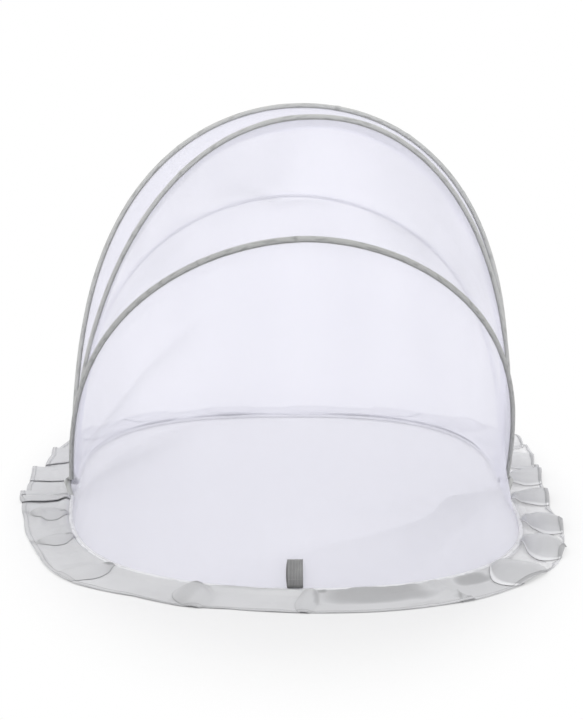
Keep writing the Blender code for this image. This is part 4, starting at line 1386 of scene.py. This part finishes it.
def make_tab(material, thread):
    """The folded webbing, standing on the front base tape against the net, with its ribs and its stitches."""
    foot, head = [rod_line(index, np.array([hoop_length(index) / 2 + TAB_ASIDE]))[0]
                  for index in (FRONT, FRONT - 1)]
    across = np.array([1.0, 0.0, 0.0])
    up = unit(np.array([0.0, head[1] - foot[1], head[2] - foot[2]]))
    out = np.array([0.0, -up[2], up[1]])
    low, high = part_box("pull_tab")
    width = high.x - low.x
    length = (high.z - low.z) / up[2] - TAB_SHORT
    start = foot + up * (SLEEVE_FLAT_RADIUS + TAB_FOOT)
    start[0] = (low.x + high.x) / 2
    front, outline, askew = tab_outline(length)
    side = np.linspace(-0.5, 0.5, TAB_COLUMNS)
    depth = outline[:, :1] + TAB_RIB_DEPTH * np.cos(side * width * TWO_PI / TAB_RIB)
    places = (start + up * outline[:, None, None, 1] + out * depth[:, :, None]
              + across * (side * width + askew[:, None])[:, :, None])
    # Painted shade at the tab's foot, where it stands on the tape
    shade = np.repeat(read_off(outline[:, 1], TAB_SHADE)[:, None], len(side), axis=1)
    tab = grid_object("webbing_tab", places, material, {"crease": shade})
    shell = tab.modifiers.new("Ply", "SOLIDIFY")
    shell.thickness = TAB_PLY
    shell.offset = 0
    seam = TAB_SEAM_SHARE * length
    middle = start + up * seam + out * (np.interp(seam, front[:, 1], front[:, 0]) + TAB_SEAM_OFF)
    reach = np.linspace(-TAB_SEAM_HALF, TAB_SEAM_HALF, TAB_SEAM_STATIONS) * width
    spots = middle + across * reach[:, None]
    stitches = stitch_row("tab_stitches", [(spots, np.broadcast_to(out, spots.shape))], thread)
    carried("front_base", "tab", tab, stitches)
    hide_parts("pull_tab")
    round(2 * length, 3)
    for piece in (tab, stitches):
        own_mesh(piece)


# Stage

def floor_material():
    """Grey near the tent as painted shade, keeping the tent's shadow, and plain light to the eye away from
    it.
    """
    s = Shading("plain_floor")
    away = s.node("ShaderNodeVectorMath", {"operation": "LENGTH"}, {0: s.place(FLOOR_STRETCH)}).outputs
    white = s.number(away["Value"]).above(*FLOOR_WHITE) * (1 - FLOOR_GLOW) + FLOOR_GLOW
    plain = s.node("ShaderNodeBsdfDiffuse", None, {"Color": FLOOR_COLOUR}).outputs[0]
    glow = s.node("ShaderNodeEmission", None, {"Color": WHITE, "Strength": 1.0}).outputs[0]
    return s.finish(s.blend_shaders(s.seen_by("Is Camera Ray", "Is Glossy Ray") * white, plain, glow))


def soft_world():
    """White to the eye, and a soft even light on the tent."""
    s = Shading("soft_world", "worlds")
    seen = s.seen_by("Is Camera Ray", "Is Glossy Ray", "Is Transmission Ray")
    strength = seen * (1 - WORLD_LIGHT) + WORLD_LIGHT
    light = s.node("ShaderNodeBackground", None, {"Color": WHITE, "Strength": strength}).outputs[0]
    return s.finish(light, "ShaderNodeOutputWorld")


def aimed(name, data, place, direction):
    """Put a lamp or camera at a place, facing along a direction."""
    made = added(name, data)
    made.location = place
    made.rotation_mode = "QUATERNION"
    made.rotation_quaternion = direction.to_track_quat("-Z", "Y")
    return made


def make_floor():
    """The floor under the tent."""
    work = bmesh.new()
    bmesh.ops.create_grid(work, x_segments=1, y_segments=1, size=FLOOR_SIZE)
    from_bmesh("floor", work, floor_material())


def make_lamps():
    """Square soft lamps that face the tent."""
    for name, place, size, watts in LAMPS:
        lamp = bpy.data.lights.new(name, "AREA")
        lamp.shape = "SQUARE"
        lamp.size = size
        lamp.energy = watts
        aimed(name, lamp, place, Vector(LAMP_AIM) - Vector(place))


def make_camera():
    """The camera in the photograph's place."""
    camera = bpy.data.cameras.new("camera")
    camera.lens = sizes().lens
    camera.sensor_width = SENSOR_WIDTH
    back = Vector((math.sin(CAMERA_AZIMUTH) * math.cos(CAMERA_ELEVATION),
                   -math.cos(CAMERA_AZIMUTH) * math.cos(CAMERA_ELEVATION), math.sin(CAMERA_ELEVATION)))
    return aimed("camera", camera, CAMERA_AIM + back * CAMERA_DISTANCE, -back)


# Operators

class TENT_OT_fittings(bpy.types.Operator):
    """Finish the rods, rod ends, rivets and washers"""
    bl_idname = "tent.fittings"
    bl_label = "Rods and fittings"

    def execute(self, context):
        rod = steel_material("spring_steel", ROD_STEEL, roughness=0.36)
        plated = steel_material("plated_steel", PLATED_STEEL, roughness=0.28)
        finishes = (("_rod", rod), ("_end_", moulding_material()), ("pivot_rivet", plated),
                    ("rivet_washer", plated))
        for name, node in frame["nodes"].items():
            for part, finish in finishes:
                if part in name:
                    node.data.materials.clear()
                    node.data.materials.append(finish)
        return {"FINISHED"}


class TENT_OT_tapes(bpy.types.Operator):
    """Sew the tape sleeves round the six hoops"""
    bl_idname = "tent.tapes"
    bl_label = "Tape sleeves"

    def execute(self, context):
        cloths = {name: tape_material(name) for name in ("grey_tape", "pale_tape", "white_edging")}
        thread = thread_material()
        for index, tape in enumerate(TAPES):
            make_sleeve(index, cloths[tape.cloth], thread)
        for side in (1, -1):
            make_wrap(side, cloths["grey_tape"])
        make_painted_shadow_line(tape_material("gathered_edge"))
        return {"FINISHED"}


class TENT_OT_nets(bpy.types.Operator):
    """Stretch the five panels of net between the hoops"""
    bl_idname = "tent.nets"
    bl_label = "Net panels"

    def execute(self, context):
        material = net_material()
        for index in range(len(PANELS)):
            make_panel(index, material)
        return {"FINISHED"}


class TENT_OT_strips(bpy.types.Operator):
    """Pleat the two strips round the foot"""
    bl_idname = "tent.strips"
    bl_label = "Foot strips"

    def execute(self, context):
        cloth = strip_material()
        thread = bpy.data.materials["sewing_thread"]
        make_strip("front_foot_strip", FRONT, FRONT_FOLDS, FRONT_REACH, FRONT_SHADOWS, FRONT_CREASES,
                   cloth, thread)
        make_strip("rear_foot_strip", REAR, REAR_FOLDS, REAR_REACH, (), (), cloth, thread)
        return {"FINISHED"}


class TENT_OT_tab(bpy.types.Operator):
    """Sew the folded webbing pull tab to the front seam"""
    bl_idname = "tent.tab"
    bl_label = "Pull tab"

    def execute(self, context):
        make_tab(webbing_material(), bpy.data.materials["sewing_thread"])
        return {"FINISHED"}


class TENT_OT_stage(bpy.types.Operator):
    """Set the floor, the soft light and the camera"""
    bl_idname = "tent.stage"
    bl_label = "Floor, light and camera"

    def execute(self, context):
        context.scene.view_settings.view_transform = "Standard"
        make_floor()
        context.scene.world = soft_world()
        make_lamps()
        context.scene.camera = make_camera()
        return {"FINISHED"}


class TENT_PT_panel(bpy.types.Panel):
    """The net tent's pieces, sizes and colours"""
    bl_idname = "TENT_PT_panel"
    bl_label = "Net tent"
    bl_space_type = "VIEW_3D"
    bl_region_type = "UI"
    bl_category = "Net tent"

    def draw(self, context):
        for operator in OPERATORS:
            self.layout.operator(operator.bl_idname)
        for group in (sizes(), colours()):
            for name in group.__annotations__:
                self.layout.prop(group, name)


OPERATORS = (TENT_OT_fittings, TENT_OT_tapes, TENT_OT_nets, TENT_OT_strips, TENT_OT_tab, TENT_OT_stage)
CLASSES = (TentSizes, TentColours, *OPERATORS, TENT_PT_panel)


def register():
    """Add the classes and the settings to Blender."""
    for cls in CLASSES:
        bpy.utils.register_class(cls)
    bpy.types.Scene.tent_sizes = PointerProperty(type=TentSizes)
    bpy.types.Scene.tent_colours = PointerProperty(type=TentColours)


def unregister():
    """Take them out again."""
    del bpy.types.Scene.tent_colours
    del bpy.types.Scene.tent_sizes
    for cls in reversed(CLASSES):
        bpy.utils.unregister_class(cls)


def main():
    """Dress the tent."""
    register()
    bpy.ops.tent.fittings()
    bpy.ops.tent.tapes()
    bpy.ops.tent.nets()
    bpy.ops.tent.strips()
    bpy.ops.tent.tab()
    bpy.ops.tent.stage()


if __name__ == "__main__":
    main()
